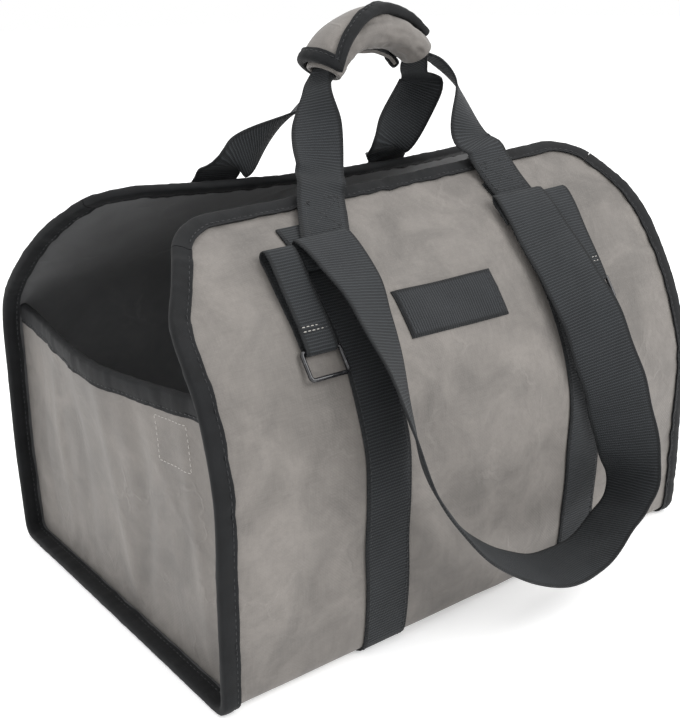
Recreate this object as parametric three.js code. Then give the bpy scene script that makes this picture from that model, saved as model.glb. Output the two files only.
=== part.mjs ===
// Canvas log carrier: one canvas sheet makes front, base and back, two lower panels close its ends,
// and webbing runs round it into a padded grip. Millimetres, X along the bag, -Y its front, Z up.
// The origin is on the ground under the middle of the bag.
import * as THREE from "three";

// Bag
const baseLength = 460;
const baseDepth = 320;
const endHeight = 205;
const flapRise = 105;
const frontLean = 106;
const backLean = 128;
const flapTaper = 44;
const flapTilt = 20;
const flapSag = 6;
const flapPull = 12;
const wallBelly = 5;
const baseRound = 9;
const flapRound = 26;
const flapLength = 140;
const endBow = 14;
const endSag = 7;

// Cloth, webbing and tape
const canvas = 2;
const webbing = 1.8;
const lightWebbing = 1.5;
const tape = 1.2;
const gap = 0.3;
const seam = 1;
const tapeRoom = 0.8;
const seamReach = 11;
const endReach = 13;

// Bands, handles and grip
const bandWidth = 38;
const bandSpread = 99;
const bandTop = 30;
const handleRoot = 78;
const handleRise = 7;
const handleLeave = 14;
const handleLean = 36;
const handleTurn = 36;
const handleSwing = 17;
const gripLength = 106;
const gripArc = 104;
const gripDepth = 34;
const gripHeight = 25;
const gripWall = 3.5;
const gripOffset = 21;
const gripLift = 411;
const gripTilt = 7;
const gripFold = 22;
const gripHold = 8;
const handlePart = 1.4;
const gripFlap = 2.6;
const gripReach = 7;
const gripRoom = 1.1;

// Shoulder straps
const strapWidth = 48;
const strapLeft = -96;
const strapRight = 95;
const strapDrop = 250;
const strapOut = 54;
const strapFold = 52;
const strapHem = 24;
const strapBend = 4;
const strapClear = 3;

// Ring straps, rings and the corner loop
const ringStrapWidth = 25;
const ringStrapLength = 77;
const ringStrapTop = 54;
const ringStrapLoop = 8;
const leftRingPlace = -133.5;
const rightRingPlace = 132.5;
const ringWidth = 33;
const ringHeight = 22;
const ringWire = 3;
const ringCorner = 2.4;
const cornerTabWidth = 4.4;
const cornerTabLength = 12;
const cornerTabDrop = 3;
const cornerTabInset = 9;
const cornerWire = 1.4;
const cornerWireWidth = 9;
const cornerWireHeight = 20;

// Patch
const patchLength = 95;
const patchWidth = 36;
const patchPlace = -11;
const patchTop = 104;

// Sections of front and back from top to base: up is a share of the zone's height, lean of how far
// the flap leans in, and taper of how much it shortens at each end.
const frontSections = [
  { zone: "flap", up: 1.0, lean: 1.0, taper: 1.0 },
  { zone: "flap", up: 0.88, lean: 0.81, taper: 0.74 },
  { zone: "flap", up: 0.7, lean: 0.58, taper: 0.4 },
  { zone: "flap", up: 0.5, lean: 0.43, taper: 0.14 },
  { zone: "flap", up: 0.25, lean: 0.265, taper: 0.08 },
  { zone: "wall", up: 1.0, lean: 0.13, taper: 0.08 },
  { zone: "wall", up: 0.75, lean: -0.01, taper: 0.05 },
  { zone: "wall", up: 0.45, lean: -0.01, taper: 0.02 },
  { zone: "wall", up: 0.2, lean: -0.01, taper: 0.0 },
];
const backSections = [
  { zone: "flap", up: 1.0, lean: 1.0, taper: 1.0 },
  { zone: "flap", up: 0.88, lean: 0.8, taper: 0.66 },
  { zone: "flap", up: 0.66, lean: 0.54, taper: 0.3 },
  { zone: "flap", up: 0.35, lean: 0.27, taper: 0.08 },
  { zone: "flap", up: 0.1, lean: 0.08, taper: 0.03 },
  { zone: "wall", up: 0.95, lean: 0.02, taper: 0.02 },
  { zone: "wall", up: 0.7, lean: -0.01, taper: 0.02 },
  { zone: "wall", up: 0.4, lean: -0.02, taper: 0.0 },
  { zone: "wall", up: 0.2, lean: -0.01, taper: 0.0 },
];

// Free run of a shoulder strap: along is the share of the way from its left root to its right one,
// out the share of strapOut beyond the wall, down the share of strapDrop, turn its twist in degrees.
const strapRun = [
  { along: 0.01, out: -0.55, down: 0.06, turn: 20 },
  { along: 0.01, out: -0.22, down: 0.15, turn: 32 },
  { along: 0.01, out: 0.1, down: 0.26, turn: 44 },
  { along: 0.01, out: 0.42, down: 0.4, turn: 53 },
  { along: 0.02, out: 0.74, down: 0.54, turn: 60 },
  { along: 0.1, out: 0.87, down: 0.66, turn: 66 },
  { along: 0.22, out: 0.91, down: 0.77, turn: 70 },
  { along: 0.42, out: 0.93, down: 0.88, turn: 72 },
  { along: 0.6, out: 0.92, down: 0.94, turn: 70 },
  { along: 0.82, out: 0.86, down: 0.95, turn: 66 },
  { along: 1.0, out: 0.78, down: 0.9, turn: 64 },
  { along: 1.1, out: 0.74, down: 0.855, turn: 72 },
  { along: 1.15, out: 0.7, down: 0.79, turn: 96 },
  { along: 1.13, out: 0.64, down: 0.7, turn: 122 },
  { along: 1.1, out: 0.57, down: 0.59, turn: 136 },
  { along: 1.05, out: 0.48, down: 0.45, turn: 146 },
  { along: 1.01, out: 0.1, down: 0.25, turn: 152 },
  { along: 1.0, out: -0.5, down: 0.1, turn: 158 },
];

// Front edge of the grip's flap: along is the share of the grip's length, angle is degrees from its top
const gripEdge = [
  { along: 0.0, angle: 86 },
  { along: 0.3, angle: 58 },
  { along: 0.6, angle: 22 },
  { along: 0.8, angle: 8 },
  { along: 1.0, angle: 4 },
];
const gripHem = -150;

const front = -1;
const back = 1;
const canvasColour = 0x9a958f;
const webbingColour = 0x3c3f41;
const tapeColour = 0x2b2d2f;
const wireColour = 0x1d1e20;
const steps = { corner: 4, wall: 2, base: 3, across: 8, arc: 3 };
const gripSteps = 5;
const halvings = 40;
const rowRoom = 2;

function lerp(a, b, share) {
  return a + (b - a) * share;
}

function clamp01(value) {
  return Math.min(1, Math.max(0, value));
}

function smooth(share) {
  const s = clamp01(share);
  return s * s * (3 - 2 * s);
}

// Middle of the cloth under the bag: webbing below it is what touches the ground
const baseMiddle = webbing + gap + canvas / 2;

function sectionPoint(row, side, lean) {
  const z = row.zone === "flap" ? endHeight + row.up * flapRise : row.up * endHeight;
  return new THREE.Vector3(baseLength / 2 - row.taper * flapTaper, side * (baseDepth / 2 - row.lean * lean), z);
}

function cornerArc(side) {
  const points = [];
  for (let i = 0; i <= steps.corner; i += 1) {
    const angle = (i / steps.corner) * (Math.PI / 2);
    const y = side * (baseDepth / 2 - baseRound + baseRound * Math.cos(angle));
    points.push(new THREE.Vector3(baseLength / 2, y, baseMiddle + baseRound - baseRound * Math.sin(angle)));
  }
  return points;
}

function basePoints() {
  const reach = baseDepth / 2 - baseRound;
  const points = [];
  for (let i = 1; i < steps.base; i += 1) {
    points.push(new THREE.Vector3(baseLength / 2, lerp(-reach, reach, i / steps.base), baseMiddle));
  }
  return points;
}

// The sheet's section runs down the front, under the base and up the back. X is half its length there.
const spineKnots = [
  ...frontSections.map((row) => sectionPoint(row, front, frontLean)),
  ...cornerArc(front),
  ...basePoints(),
  ...cornerArc(back).reverse(),
  ...backSections.map((row) => sectionPoint(row, back, backLean)).reverse(),
];
const spine = new THREE.CatmullRomCurve3(spineKnots, false, "centripetal");
spine.arcLengthDivisions = 800;
const spineLength = spine.getLength();

// Distances along the section at which the sheet has a row of points
const spineRows = [];
for (let i = 0; i < spineKnots.length - 1; i += 1) {
  const lengths = spine.getLengths();
  const at = (knot) => lengths[Math.round((knot / (spineKnots.length - 1)) * spine.arcLengthDivisions)];
  const parts = spineKnots[i].distanceTo(spineKnots[i + 1]) > 2 * baseRound ? steps.wall : 1;
  for (let k = 0; k < parts; k += 1) {
    spineRows.push(lerp(at(i), at(i + 1), k / parts));
  }
}
spineRows.push(spineLength);

// Middle of the sheet at a share u of its half length and a distance along its section
function sheetMiddle(u, distance) {
  const along = Math.min(spineLength, Math.max(0, distance));
  const point = spine.getPointAt(along / spineLength);
  const beyond = spine.getTangentAt(along / spineLength).multiplyScalar(distance - along);
  const side = along < spineLength / 2 ? front : back;
  const flap = smooth((point.z - endHeight) / flapRise);
  const wall = Math.sin(Math.PI * clamp01((point.z - baseMiddle - baseRound) / (endHeight - baseRound)));
  const crown = 1 - u * u;
  const tilt = side === front ? (flapTilt / 2) * u : 0;
  return new THREE.Vector3(
    u * (point.x + beyond.x),
    point.y + beyond.y + side * crown * (wallBelly * wall - flapPull * flap),
    point.z + beyond.z + flap * (tilt - flapSag * crown),
  );
}

// Point, outward normal and the two directions of the sheet, offset outward by height
function onSheet(u, distance, height = 0) {
  const middle = sheetMiddle(u, distance);
  const nudge = 0.5;
  const across = sheetMiddle(u + 0.002, distance).sub(sheetMiddle(u - 0.002, distance)).normalize();
  const down = sheetMiddle(u, distance + nudge).sub(sheetMiddle(u, distance - nudge)).normalize();
  const normal = down.clone().cross(across).normalize();
  return { point: middle.addScaledVector(normal, height), normal, across, down };
}

// The same at a fixed distance x from the bag's middle
function atPlace(x, distance, height = 0) {
  const along = Math.min(spineLength, Math.max(0, distance));
  return onSheet(x / spine.getPointAt(along / spineLength).x, distance, height);
}

function finish(name, vertices, faces, colour, roughness, metalness = 0) {
  let volume = 0;
  const cross = new THREE.Vector3();
  faces.forEach(([a, b, c]) => {
    volume += vertices[a].dot(cross.copy(vertices[b]).cross(vertices[c]));
  });
  const indices = faces.flatMap(([a, b, c]) => (volume > 0 ? [a, b, c] : [a, c, b]));
  const geometry = new THREE.BufferGeometry();
  geometry.setAttribute("position", new THREE.Float32BufferAttribute(vertices.flatMap((v) => v.toArray()), 3));
  geometry.setIndex(indices);
  geometry.computeVertexNormals();
  const mesh = new THREE.Mesh(geometry, new THREE.MeshStandardMaterial({ color: colour, roughness, metalness }));
  mesh.name = name;
  return mesh;
}

// A closed sheet: placeAt(i, j) gives a point and a normal, low and high are its two faces' heights
function sheetSolid(name, columns, rows, placeAt, low, high, colour) {
  const vertices = [];
  const faces = [];
  const index = (i, j, face) => (i * (rows + 1) + j) * 2 + face;
  for (let i = 0; i <= columns; i += 1) {
    for (let j = 0; j <= rows; j += 1) {
      const { point, normal } = placeAt(i, j);
      vertices.push(point.clone().addScaledVector(normal, high), point.clone().addScaledVector(normal, low));
    }
  }
  const quad = (a, b, c, d) => faces.push([a, b, c], [a, c, d]);
  for (let i = 0; i < columns; i += 1) {
    for (let j = 0; j < rows; j += 1) {
      quad(index(i, j, 0), index(i, j + 1, 0), index(i + 1, j + 1, 0), index(i + 1, j, 0));
      quad(index(i, j, 1), index(i + 1, j, 1), index(i + 1, j + 1, 1), index(i, j + 1, 1));
    }
    quad(index(i, 0, 0), index(i + 1, 0, 0), index(i + 1, 0, 1), index(i, 0, 1));
    quad(index(i, rows, 1), index(i + 1, rows, 1), index(i + 1, rows, 0), index(i, rows, 0));
  }
  for (let j = 0; j < rows; j += 1) {
    quad(index(0, j, 1), index(0, j + 1, 1), index(0, j + 1, 0), index(0, j, 0));
    quad(index(columns, j, 0), index(columns, j + 1, 0), index(columns, j + 1, 1), index(columns, j, 1));
  }
  return finish(name, vertices, faces, colour, 0.9);
}

// A solid through a list of equal outlines, closed on itself or capped with the given triangles
function sweep(name, outlines, caps, colour, roughness = 0.9, metalness = 0) {
  const count = outlines[0].length;
  const vertices = outlines.flat();
  const faces = [];
  const spans = caps ? outlines.length - 1 : outlines.length;
  for (let s = 0; s < spans; s += 1) {
    const here = s * count;
    const next = ((s + 1) % outlines.length) * count;
    for (let k = 0; k < count; k += 1) {
      const other = (k + 1) % count;
      faces.push([here + k, here + other, next + other], [here + k, next + other, next + k]);
    }
  }
  if (caps) {
    const last = (outlines.length - 1) * count;
    caps.forEach(([a, b, c]) => faces.push([a, c, b], [last + a, last + b, last + c]));
  }
  return finish(name, vertices, faces, colour, roughness, metalness);
}

const ribbonCaps = [[0, 1, 2], [0, 2, 3]];

// Flat webbing through stations that each give its middle, its direction across and its normal
function ribbon(name, stations, thickness, closed = false, colour = webbingColour) {
  const outlines = stations.map(({ point, across, normal, half }) =>
    [[-1, -1], [1, -1], [1, 1], [-1, 1]].map(([a, n]) =>
      point.clone().addScaledVector(across, a * half).addScaledVector(normal, (n * thickness) / 2)));
  return sweep(name, outlines, closed ? null : ribbonCaps, colour);
}

const bindingCaps = [[0, 1, 6], [0, 6, 7], [1, 2, 5], [1, 5, 6], [2, 3, 4], [2, 4, 5]];

// Tape folded over an edge: stations give the edge point, its normal and the way into the cloth
function binding(name, stations, cloth, reach, room = tapeRoom) {
  const inner = cloth / 2 + room;
  const outer = inner + tape;
  const outline = [
    [reach, outer], [-room - tape, outer], [-room - tape, -outer], [reach, -outer],
    [reach, -inner], [-room, -inner], [-room, inner], [reach, inner],
  ];
  const outlines = stations.map(({ point, normal, inward }) =>
    outline.map(([d, h]) => point.clone().addScaledVector(inward, d).addScaledVector(normal, h)));
  return sweep(name, outlines, bindingCaps, tapeColour);
}

// Adds to edge points the way into the cloth, towards the given points and square to the edge
function edgeStations(points, towards, closed) {
  const last = points.length - 1;
  return points.map(({ point, normal }, i) => {
    const before = points[i === 0 ? (closed ? last : 0) : i - 1].point;
    const after = points[i === last ? (closed ? 0 : last) : i + 1].point;
    const along = after.clone().sub(before).normalize();
    const inward = towards[i].clone().sub(point);
    inward.addScaledVector(along, -inward.dot(along)).normalize();
    const square = along.clone().cross(inward).normalize();
    if (square.dot(normal) < 0) {
      square.negate();
    }
    return { point, normal: square, inward, along };
  });
}

// Main panel: its flaps' corners are rounded by moving the edge down near the ends
const roundStart = 1 - flapRound / (baseLength / 2 - flapTaper);
const columnPlaces = [];
for (let i = 0; i < steps.arc; i += 1) {
  columnPlaces.push(roundStart + (1 - roundStart) * Math.cos((i / steps.arc) * (Math.PI / 2)));
}
for (let i = 0; i <= steps.across; i += 1) {
  columnPlaces.push(lerp(roundStart, -roundStart, i / steps.across));
}
for (let i = steps.arc - 1; i >= 0; i -= 1) {
  columnPlaces.push(-columnPlaces[i]);
}
columnPlaces.reverse();

function topDistance(u) {
  const share = clamp01((Math.abs(u) - roundStart) / (1 - roundStart));
  return flapRound * (1 - Math.sqrt(1 - share * share));
}

function rowDistance(u, distance) {
  const nearEnd = Math.min(distance, spineLength - distance);
  const shift = topDistance(u) * clamp01(1 - nearEnd / flapLength);
  return distance < spineLength / 2 ? distance + shift : distance - shift;
}

function mainPanel() {
  const placeAt = (i, j) => onSheet(columnPlaces[i], rowDistance(columnPlaces[i], spineRows[j]));
  return sheetSolid("main_panel", columnPlaces.length - 1, spineRows.length - 1, placeAt,
    -canvas / 2, canvas / 2, canvasColour);
}

// Point of the sheet a tape's reach in from its edge, square to the edge
function insideEdge(u, distance) {
  const nearEnd = Math.min(distance, spineLength - distance);
  const half = spine.getPointAt(distance / spineLength).x;
  const across = Math.max(0, Math.abs(u) - roundStart) * half;
  const rest = Math.max(0, flapRound - nearEnd);
  const length = Math.hypot(across, rest) || 1;
  const atSide = Math.abs(u) > 0.999;
  const inU = atSide ? seamReach : (seamReach * across) / length;
  const inDistance = atSide ? 0 : (seamReach * rest) / length;
  const sign = distance < spineLength / 2 ? 1 : -1;
  return onSheet(u - (Math.sign(u) * inU) / half, distance + sign * inDistance).point;
}

// The sheet's whole edge: across the front flap's top, down the right side, back across and round
function sheetEdge() {
  const columns = columnPlaces.length - 1;
  const rows = spineRows.length - 1;
  const edge = [];
  const add = (u, distance) => {
    edge.push({ ...onSheet(u, distance), inside: insideEdge(u, distance) });
  };
  for (let i = 0; i < columns; i += 1) {
    add(columnPlaces[i], topDistance(columnPlaces[i]));
  }
  for (let j = 0; j < rows; j += 1) {
    add(1, rowDistance(1, spineRows[j]));
  }
  for (let i = columns; i > 0; i -= 1) {
    add(columnPlaces[i], spineLength - topDistance(columnPlaces[i]));
  }
  for (let j = rows; j > 0; j -= 1) {
    add(-1, rowDistance(-1, spineRows[j]));
  }
  return edgeStations(edge, edge.map(({ inside }) => inside), true);
}

function edgeBindings() {
  const edge = sheetEdge();
  const columns = columnPlaces.length - 1;
  const rows = spineRows.length - 1;
  const runs = [
    ["front_flap_binding", 0, columns],
    ["right_side_binding", columns, columns + rows],
    ["back_flap_binding", columns + rows, 2 * columns + rows],
    ["left_side_binding", 2 * columns + rows, 2 * (columns + rows)],
  ];
  return runs.map(([name, start, end]) => {
    const stations = [];
    for (let k = start; k <= end; k += 1) {
      const { point, normal, inward, along } = edge[k % edge.length];
      const trim = k === start ? gap : k === end ? -gap : 0;
      stations.push({ point: point.clone().addScaledVector(along, trim), normal, inward });
    }
    return binding(name, stations, canvas, seamReach);
  });
}

// End panels stand inside the main panel, clear of its edge tape
const endInset = seamReach + tape + tapeRoom + 2 * gap + canvas / 2;
const endColumns = 12;
const endLevels = [0, 0.02, 0.05, 0.12, 0.35, 0.65, 1];

function innerFace(side, z, clearance) {
  let low = 0;
  let high = spineLength / 2;
  const at = (distance) => {
    const along = side === front ? distance : spineLength - distance;
    return onSheet(1 - endInset / (baseLength / 2), along, -canvas / 2 - clearance).point;
  };
  for (let i = 0; i < halvings; i += 1) {
    const middle = (low + high) / 2;
    if (at(middle).z > z) {
      low = middle;
    } else {
      high = middle;
    }
  }
  return { y: at(low).y, half: spine.getPointAt(low / spineLength).x };
}

function endPlace(side, share, level, clearance) {
  const bottom = baseMiddle + canvas / 2 + gap;
  const top = endHeight - endSag * Math.sin(Math.PI * share);
  const z = lerp(bottom, top, level);
  const lowest = baseMiddle + canvas / 2 + clearance + gap / 4;
  const near = innerFace(front, Math.max(z, lowest), clearance);
  const far = innerFace(back, Math.max(z, lowest), clearance);
  const bow = endBow * Math.sin(Math.PI * share) ** 2 * level ** 1.5;
  const half = lerp(near.half, far.half, share) - endInset;
  return new THREE.Vector3(side * (half + bow), lerp(near.y, far.y, share), z);
}

function onEnd(side, share, level, clearance) {
  const nudge = 0.01;
  const point = endPlace(side, share, level, clearance);
  const along = endPlace(side, Math.min(1, share + nudge), level, clearance)
    .sub(endPlace(side, Math.max(0, share - nudge), level, clearance));
  const up = endPlace(side, share, Math.min(1, level + nudge), clearance)
    .sub(endPlace(side, share, Math.max(0, level - nudge), clearance));
  const normal = along.cross(up).normalize();
  if (normal.x * side < 0) {
    normal.negate();
  }
  return { point, normal };
}

function endPanel(name, side) {
  const placeAt = (i, j) => onEnd(side, i / endColumns, endLevels[j], seam);
  return sheetSolid(name, endColumns, endLevels.length - 1, placeAt, -canvas / 2, canvas / 2, canvasColour);
}

function endBinding(name, side) {
  const points = [];
  const insides = [];
  for (let i = 0; i <= endColumns; i += 1) {
    points.push(onEnd(side, i / endColumns, 1, 2 * seam));
    insides.push(endPlace(side, i / endColumns, 1 - endReach / endHeight, 2 * seam));
  }
  return binding(name, edgeStations(points, insides, false), canvas, endReach);
}

// Bands lie on the outside of the main panel, from flap to flap under the base
function surfaceRows(start, end) {
  const inside = spineRows.filter((d) => d > start + rowRoom && d < end - rowRoom);
  return [start, ...inside, end];
}

function band(name, x) {
  const height = canvas / 2 + gap + webbing / 2;
  const stations = surfaceRows(bandTop, spineLength - bandTop).map((distance) => {
    const { point, normal, across } = atPlace(x, distance, height);
    return { point, normal, across, half: bandWidth / 2 };
  });
  return ribbon(name, stations, webbing);
}

// The grip's axis is an arc in a tilted upright plane, and runs on straight beyond the grip's ends
const gripBend = (gripArc * Math.PI) / 180;
const gripRadius = gripLength / gripBend;
const gripLean = (gripTilt * Math.PI) / 180;

function gripFrame(along) {
  const held = Math.min(gripLength / 2, Math.max(-gripLength / 2, along));
  const angle = gripLean - held / gripRadius;
  const axis = new THREE.Vector3(Math.cos(angle), 0, Math.sin(angle));
  const up = new THREE.Vector3(-axis.z, 0, axis.x);
  const top = new THREE.Vector3(-Math.sin(gripLean), 0, Math.cos(gripLean));
  const middle = new THREE.Vector3(gripOffset, 0, gripLift).addScaledVector(top, -gripRadius)
    .addScaledVector(up, gripRadius).addScaledVector(axis, along - held);
  return { middle, axis, up };
}

function inGrip(along, y, up) {
  const frame = gripFrame(along);
  return frame.middle.addScaledVector(frame.up, up).add(new THREE.Vector3(0, y, 0));
}

// Webbing through control rows: each has a point, a direction across, a width and the steps after it
function webbingRun(rows) {
  const curve = new THREE.CatmullRomCurve3(rows.map((row) => row.point), false, "centripetal");
  const stations = [];
  const add = (k, share) => {
    const here = rows[k];
    const next = rows[Math.min(k + 1, rows.length - 1)];
    const t = (k + share) / (rows.length - 1);
    const tangent = curve.getTangent(Math.min(1, t));
    const across = here.across.clone().lerp(next.across, share);
    across.addScaledVector(tangent, -across.dot(tangent)).normalize();
    const normal = tangent.clone().cross(across).normalize();
    const half = lerp(here.width, next.width, share) / 2;
    stations.push({ point: curve.getPoint(Math.min(1, t)), across, normal, half });
  };
  for (let k = 0; k < rows.length - 1; k += 1) {
    for (let s = 0; s < rows[k].steps; s += 1) {
      add(k, s / rows[k].steps);
    }
  }
  add(rows.length - 1, 0);
  return stations;
}

const handleLayer = canvas / 2 + 3 * gap + 1.5 * webbing;

// How a handle turns beyond the grip: past is the share of handleTurn beyond the grip's end, swing the
// share of handleSwing towards its flap, wide how far it has unfolded and turned from across the grip,
// part the share of handlePart by which it leaves the other handle.
const handleRun = [
  { past: 0.06, swing: 0, wide: 0, part: 0.5, steps: 4 },
  { past: 0.42, swing: 0.5, wide: 0.2, part: 3, steps: 5 },
  { past: 1, swing: 1.1, wide: 1, part: 0, steps: 6 },
];

// One handle: sewn over its band, out over the flap's edge, up through the grip and down again. The end
// whose flap lies towards the grip's lower side leans in to it.
function handle(name, side) {
  const lift = side === front ? 1 : -1;
  const stack = (lift * (webbing + gap)) / 2;
  const bend = side === front ? webbing + 2 * gap + handlePart : 0;
  const rows = [];
  const surface = (sign, distance) => {
    const along = side === front ? distance : spineLength - distance;
    const up = 1 - distance / handleRoot;
    const lean = sign === side ? handleLean * up : 0;
    const { point, across } = atPlace(sign * (bandSpread - lean), along, handleLayer + handleRise * clamp01(up) ** 4);
    rows.push({ point, across: across.multiplyScalar(-sign), width: bandWidth, steps: 1 });
  };
  const free = (sign, { past, swing, wide, part, steps: count }) => {
    const along = sign * (gripLength / 2 + past * (handleTurn + bend));
    const across = new THREE.Vector3(-sign * wide, side * lerp(1, 1.2, wide), 0).normalize();
    rows.push({
      point: inGrip(along, side * swing * handleSwing, stack + lift * handlePart * part),
      across,
      width: lerp(gripFold, bandWidth, wide),
      steps: count,
    });
  };
  const held = (along) => {
    rows.push({ point: inGrip(along, 0, stack), across: new THREE.Vector3(0, side, 0), width: gripFold, steps: 1 });
  };
  const turned = (rootRows) => rootRows.map((d) => (side === front ? d : spineLength - d)).reverse();
  const sewn = side === front
    ? [-handleLeave, ...surfaceRows(0, bandTop), ...surfaceRows(bandTop, handleRoot).slice(1)]
    : [-handleLeave, ...turned(surfaceRows(spineLength - bandTop, spineLength)),
      ...turned(surfaceRows(spineLength - handleRoot, spineLength - bandTop)).slice(1)];
  [...sewn].reverse().forEach((distance) => surface(-1, distance));
  rows[rows.length - 1].steps = handleRun[2].steps;
  [...handleRun].reverse().forEach((row) => free(-1, row));
  for (let i = 0; i <= gripSteps; i += 1) {
    held(lerp(gripHold - gripLength / 2, gripLength / 2 - gripHold, i / gripSteps));
  }
  handleRun.forEach((row) => free(1, row));
  sewn.forEach((distance) => surface(1, distance));
  return ribbon(name, webbingRun(rows), webbing);
}

// Grip: an oval wrap round both handles, with a bound flap that closes over its top
const wrapSides = 20;
const wrapCrown = [
  { along: 0, swell: 0.96 },
  { along: 0.12, swell: 0.99 },
  { along: 0.35, swell: 1.0 },
  { along: 0.65, swell: 1.0 },
  { along: 0.88, swell: 0.99 },
  { along: 1, swell: 0.96 },
];

function gripPoint(along, angle, grow, swell = 1) {
  const turn = (angle * Math.PI) / 180;
  const { middle, up } = gripFrame((along - 0.5) * gripLength);
  const normal = new THREE.Vector3(0, -Math.sin(turn) / gripDepth, 0)
    .addScaledVector(up, Math.cos(turn) / gripHeight).normalize();
  const point = middle.addScaledVector(up, Math.cos(turn) * (gripHeight / 2) * swell)
    .add(new THREE.Vector3(0, -Math.sin(turn) * (gripDepth / 2) * swell, 0)).addScaledVector(normal, grow);
  return { point, normal };
}

function gripWrap() {
  const outer = [];
  const inner = [];
  const ring = (along, grow, swell) => {
    const points = [];
    for (let k = 0; k < wrapSides; k += 1) {
      points.push(gripPoint(along, (k * 360) / wrapSides, grow, swell).point);
    }
    return points;
  };
  wrapCrown.forEach(({ along, swell }) => outer.push(ring(along, 0, swell)));
  [...wrapCrown].reverse().forEach(({ along }) => inner.push(ring(along, -gripWall, wrapCrown[0].swell)));
  return sweep("grip_wrap", [...outer, ...inner], null, canvasColour);
}

const flapLayer = 2 * gripRoom + tape + gripFlap / 2;
const flapMargin = 0.02;

function gripEdgeAngle(along) {
  const row = Math.max(1, gripEdge.findIndex((r) => r.along >= along));
  const here = gripEdge[row - 1];
  const next = gripEdge[row];
  return lerp(here.angle, next.angle, (along - here.along) / (next.along - here.along));
}

const gripFlapColumns = 8;
const gripFlapRows = 15;

function gripFlapPlace(share, row) {
  const along = lerp(flapMargin, 1 - flapMargin, share);
  return gripPoint(along, lerp(gripEdgeAngle(along), gripHem, row), flapLayer);
}

function gripFlapPiece() {
  const placeAt = (i, j) => gripFlapPlace(i / gripFlapColumns, j / gripFlapRows);
  return sheetSolid("grip_flap", gripFlapColumns, gripFlapRows, placeAt, -gripFlap / 2, gripFlap / 2, canvasColour);
}

function gripBinding() {
  const points = [];
  const insides = [];
  const shareReach = gripReach / gripLength;
  const rowReach = 1 / gripFlapRows;
  const add = (share, row, insideShare, insideRow) => {
    points.push(gripFlapPlace(share, row));
    insides.push(gripFlapPlace(share + insideShare, row + insideRow).point);
  };
  for (let j = gripFlapRows; j > 0; j -= 1) {
    add(0, j / gripFlapRows, shareReach, 0);
  }
  for (let i = 0; i <= gripFlapColumns; i += 1) {
    const corner = i === 0 ? shareReach : i === gripFlapColumns ? -shareReach : 0;
    add(i / gripFlapColumns, 0, corner, rowReach);
  }
  for (let j = 1; j <= gripFlapRows; j += 1) {
    add(1, j / gripFlapRows, -shareReach, 0);
  }
  return binding("grip_binding", edgeStations(points, insides, false), gripFlap, gripReach, gripRoom);
}

// How far from the bag's middle its outer side is, at a distance x along it and a height
function outerDepth(side, x, z) {
  let low = 0;
  let high = spineLength / 2;
  const at = (distance) => atPlace(x, side === front ? distance : spineLength - distance, handleLayer).point;
  for (let i = 0; i < halvings; i += 1) {
    const middle = (low + high) / 2;
    if (at(middle).z > z) {
      low = middle;
    } else {
      high = middle;
    }
  }
  return Math.abs(at(low).y);
}

// A shoulder strap: each end is sewn over a handle's root and folded down, and the loop hangs free
function shoulderStrap(name, side) {
  const layer = handleLayer + webbing + 3 * gap;
  const hem = surfaceRows(strapFold + strapBend, strapFold + strapHem);
  const rows = [];
  const sewn = (x, distance, height, sign, count) => {
    const along = side === front ? distance : spineLength - distance;
    const { point, across } = atPlace(x, along, height);
    rows.push({ point, across: across.multiplyScalar(sign), width: strapWidth, steps: count });
  };
  const leftRoot = -side * strapLeft;
  const rightRoot = -side * strapRight;
  const rootTop = atPlace(leftRoot, side === front ? strapFold : spineLength - strapFold).point.z;
  [...hem].reverse().forEach((distance) => sewn(leftRoot, distance, layer, -side, 1));
  rows[rows.length - 1].steps = 3;
  sewn(leftRoot, strapFold, layer + strapBend, -side, 3);
  strapRun.forEach(({ along, out, down, turn }) => {
    const x = -side * lerp(strapLeft, strapRight, along);
    const z = rootTop - down * strapDrop;
    const angle = (turn * Math.PI) / 180;
    const clear = outerDepth(side, x, z) + strapClear + (strapWidth / 2) * Math.sin(angle);
    const y = side * Math.max(clear, baseDepth / 2 + out * strapOut);
    const across = new THREE.Vector3(-side * Math.cos(angle), -side * Math.sin(angle), 0);
    rows.push({ point: new THREE.Vector3(x, y, z), across, width: strapWidth, steps: 3 });
  });
  sewn(rightRoot, strapFold, layer + strapBend, side, 3);
  hem.forEach((distance) => sewn(rightRoot, distance, layer, side, 1));
  return ribbon(name, webbingRun(rows), webbing);
}

// Doubled webbing that hangs from a fold and holds a bar at its foot: places are (down, height) on a cloth
function foldedStrap(name, placeAt, rear, width, thickness, length, bulge, bar, clear) {
  const low = clear + thickness / 2;
  const turn = bar / 2 + gap + thickness / 2;
  const barHeight = low + turn;
  const crown = bulge / 2;
  const path = [];
  const arcSteps = 6;
  for (let k = 0; k <= arcSteps; k += 1) {
    const angle = (k / arcSteps) * Math.PI;
    path.push([length + turn * Math.sin(angle), barHeight - turn * Math.cos(angle)]);
  }
  path.push([length * 0.5, lerp(barHeight + turn, low + bulge, 0.6)]);
  for (let k = 0; k <= arcSteps; k += 1) {
    const angle = (k / arcSteps) * Math.PI;
    path.push([crown - crown * Math.sin(angle), low + crown + crown * Math.cos(angle)]);
  }
  rear.forEach((down) => path.push([down, low]));
  const points = path.map(([down, height]) => placeAt(down, height));
  const stations = points.map(({ point, across }, i) => {
    const before = points[(i + points.length - 1) % points.length].point;
    const after = points[(i + 1) % points.length].point;
    const normal = after.clone().sub(before).cross(across).normalize();
    return { point, across, normal, half: width / 2 };
  });
  return ribbon(name, stations, thickness, true);
}

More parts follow.
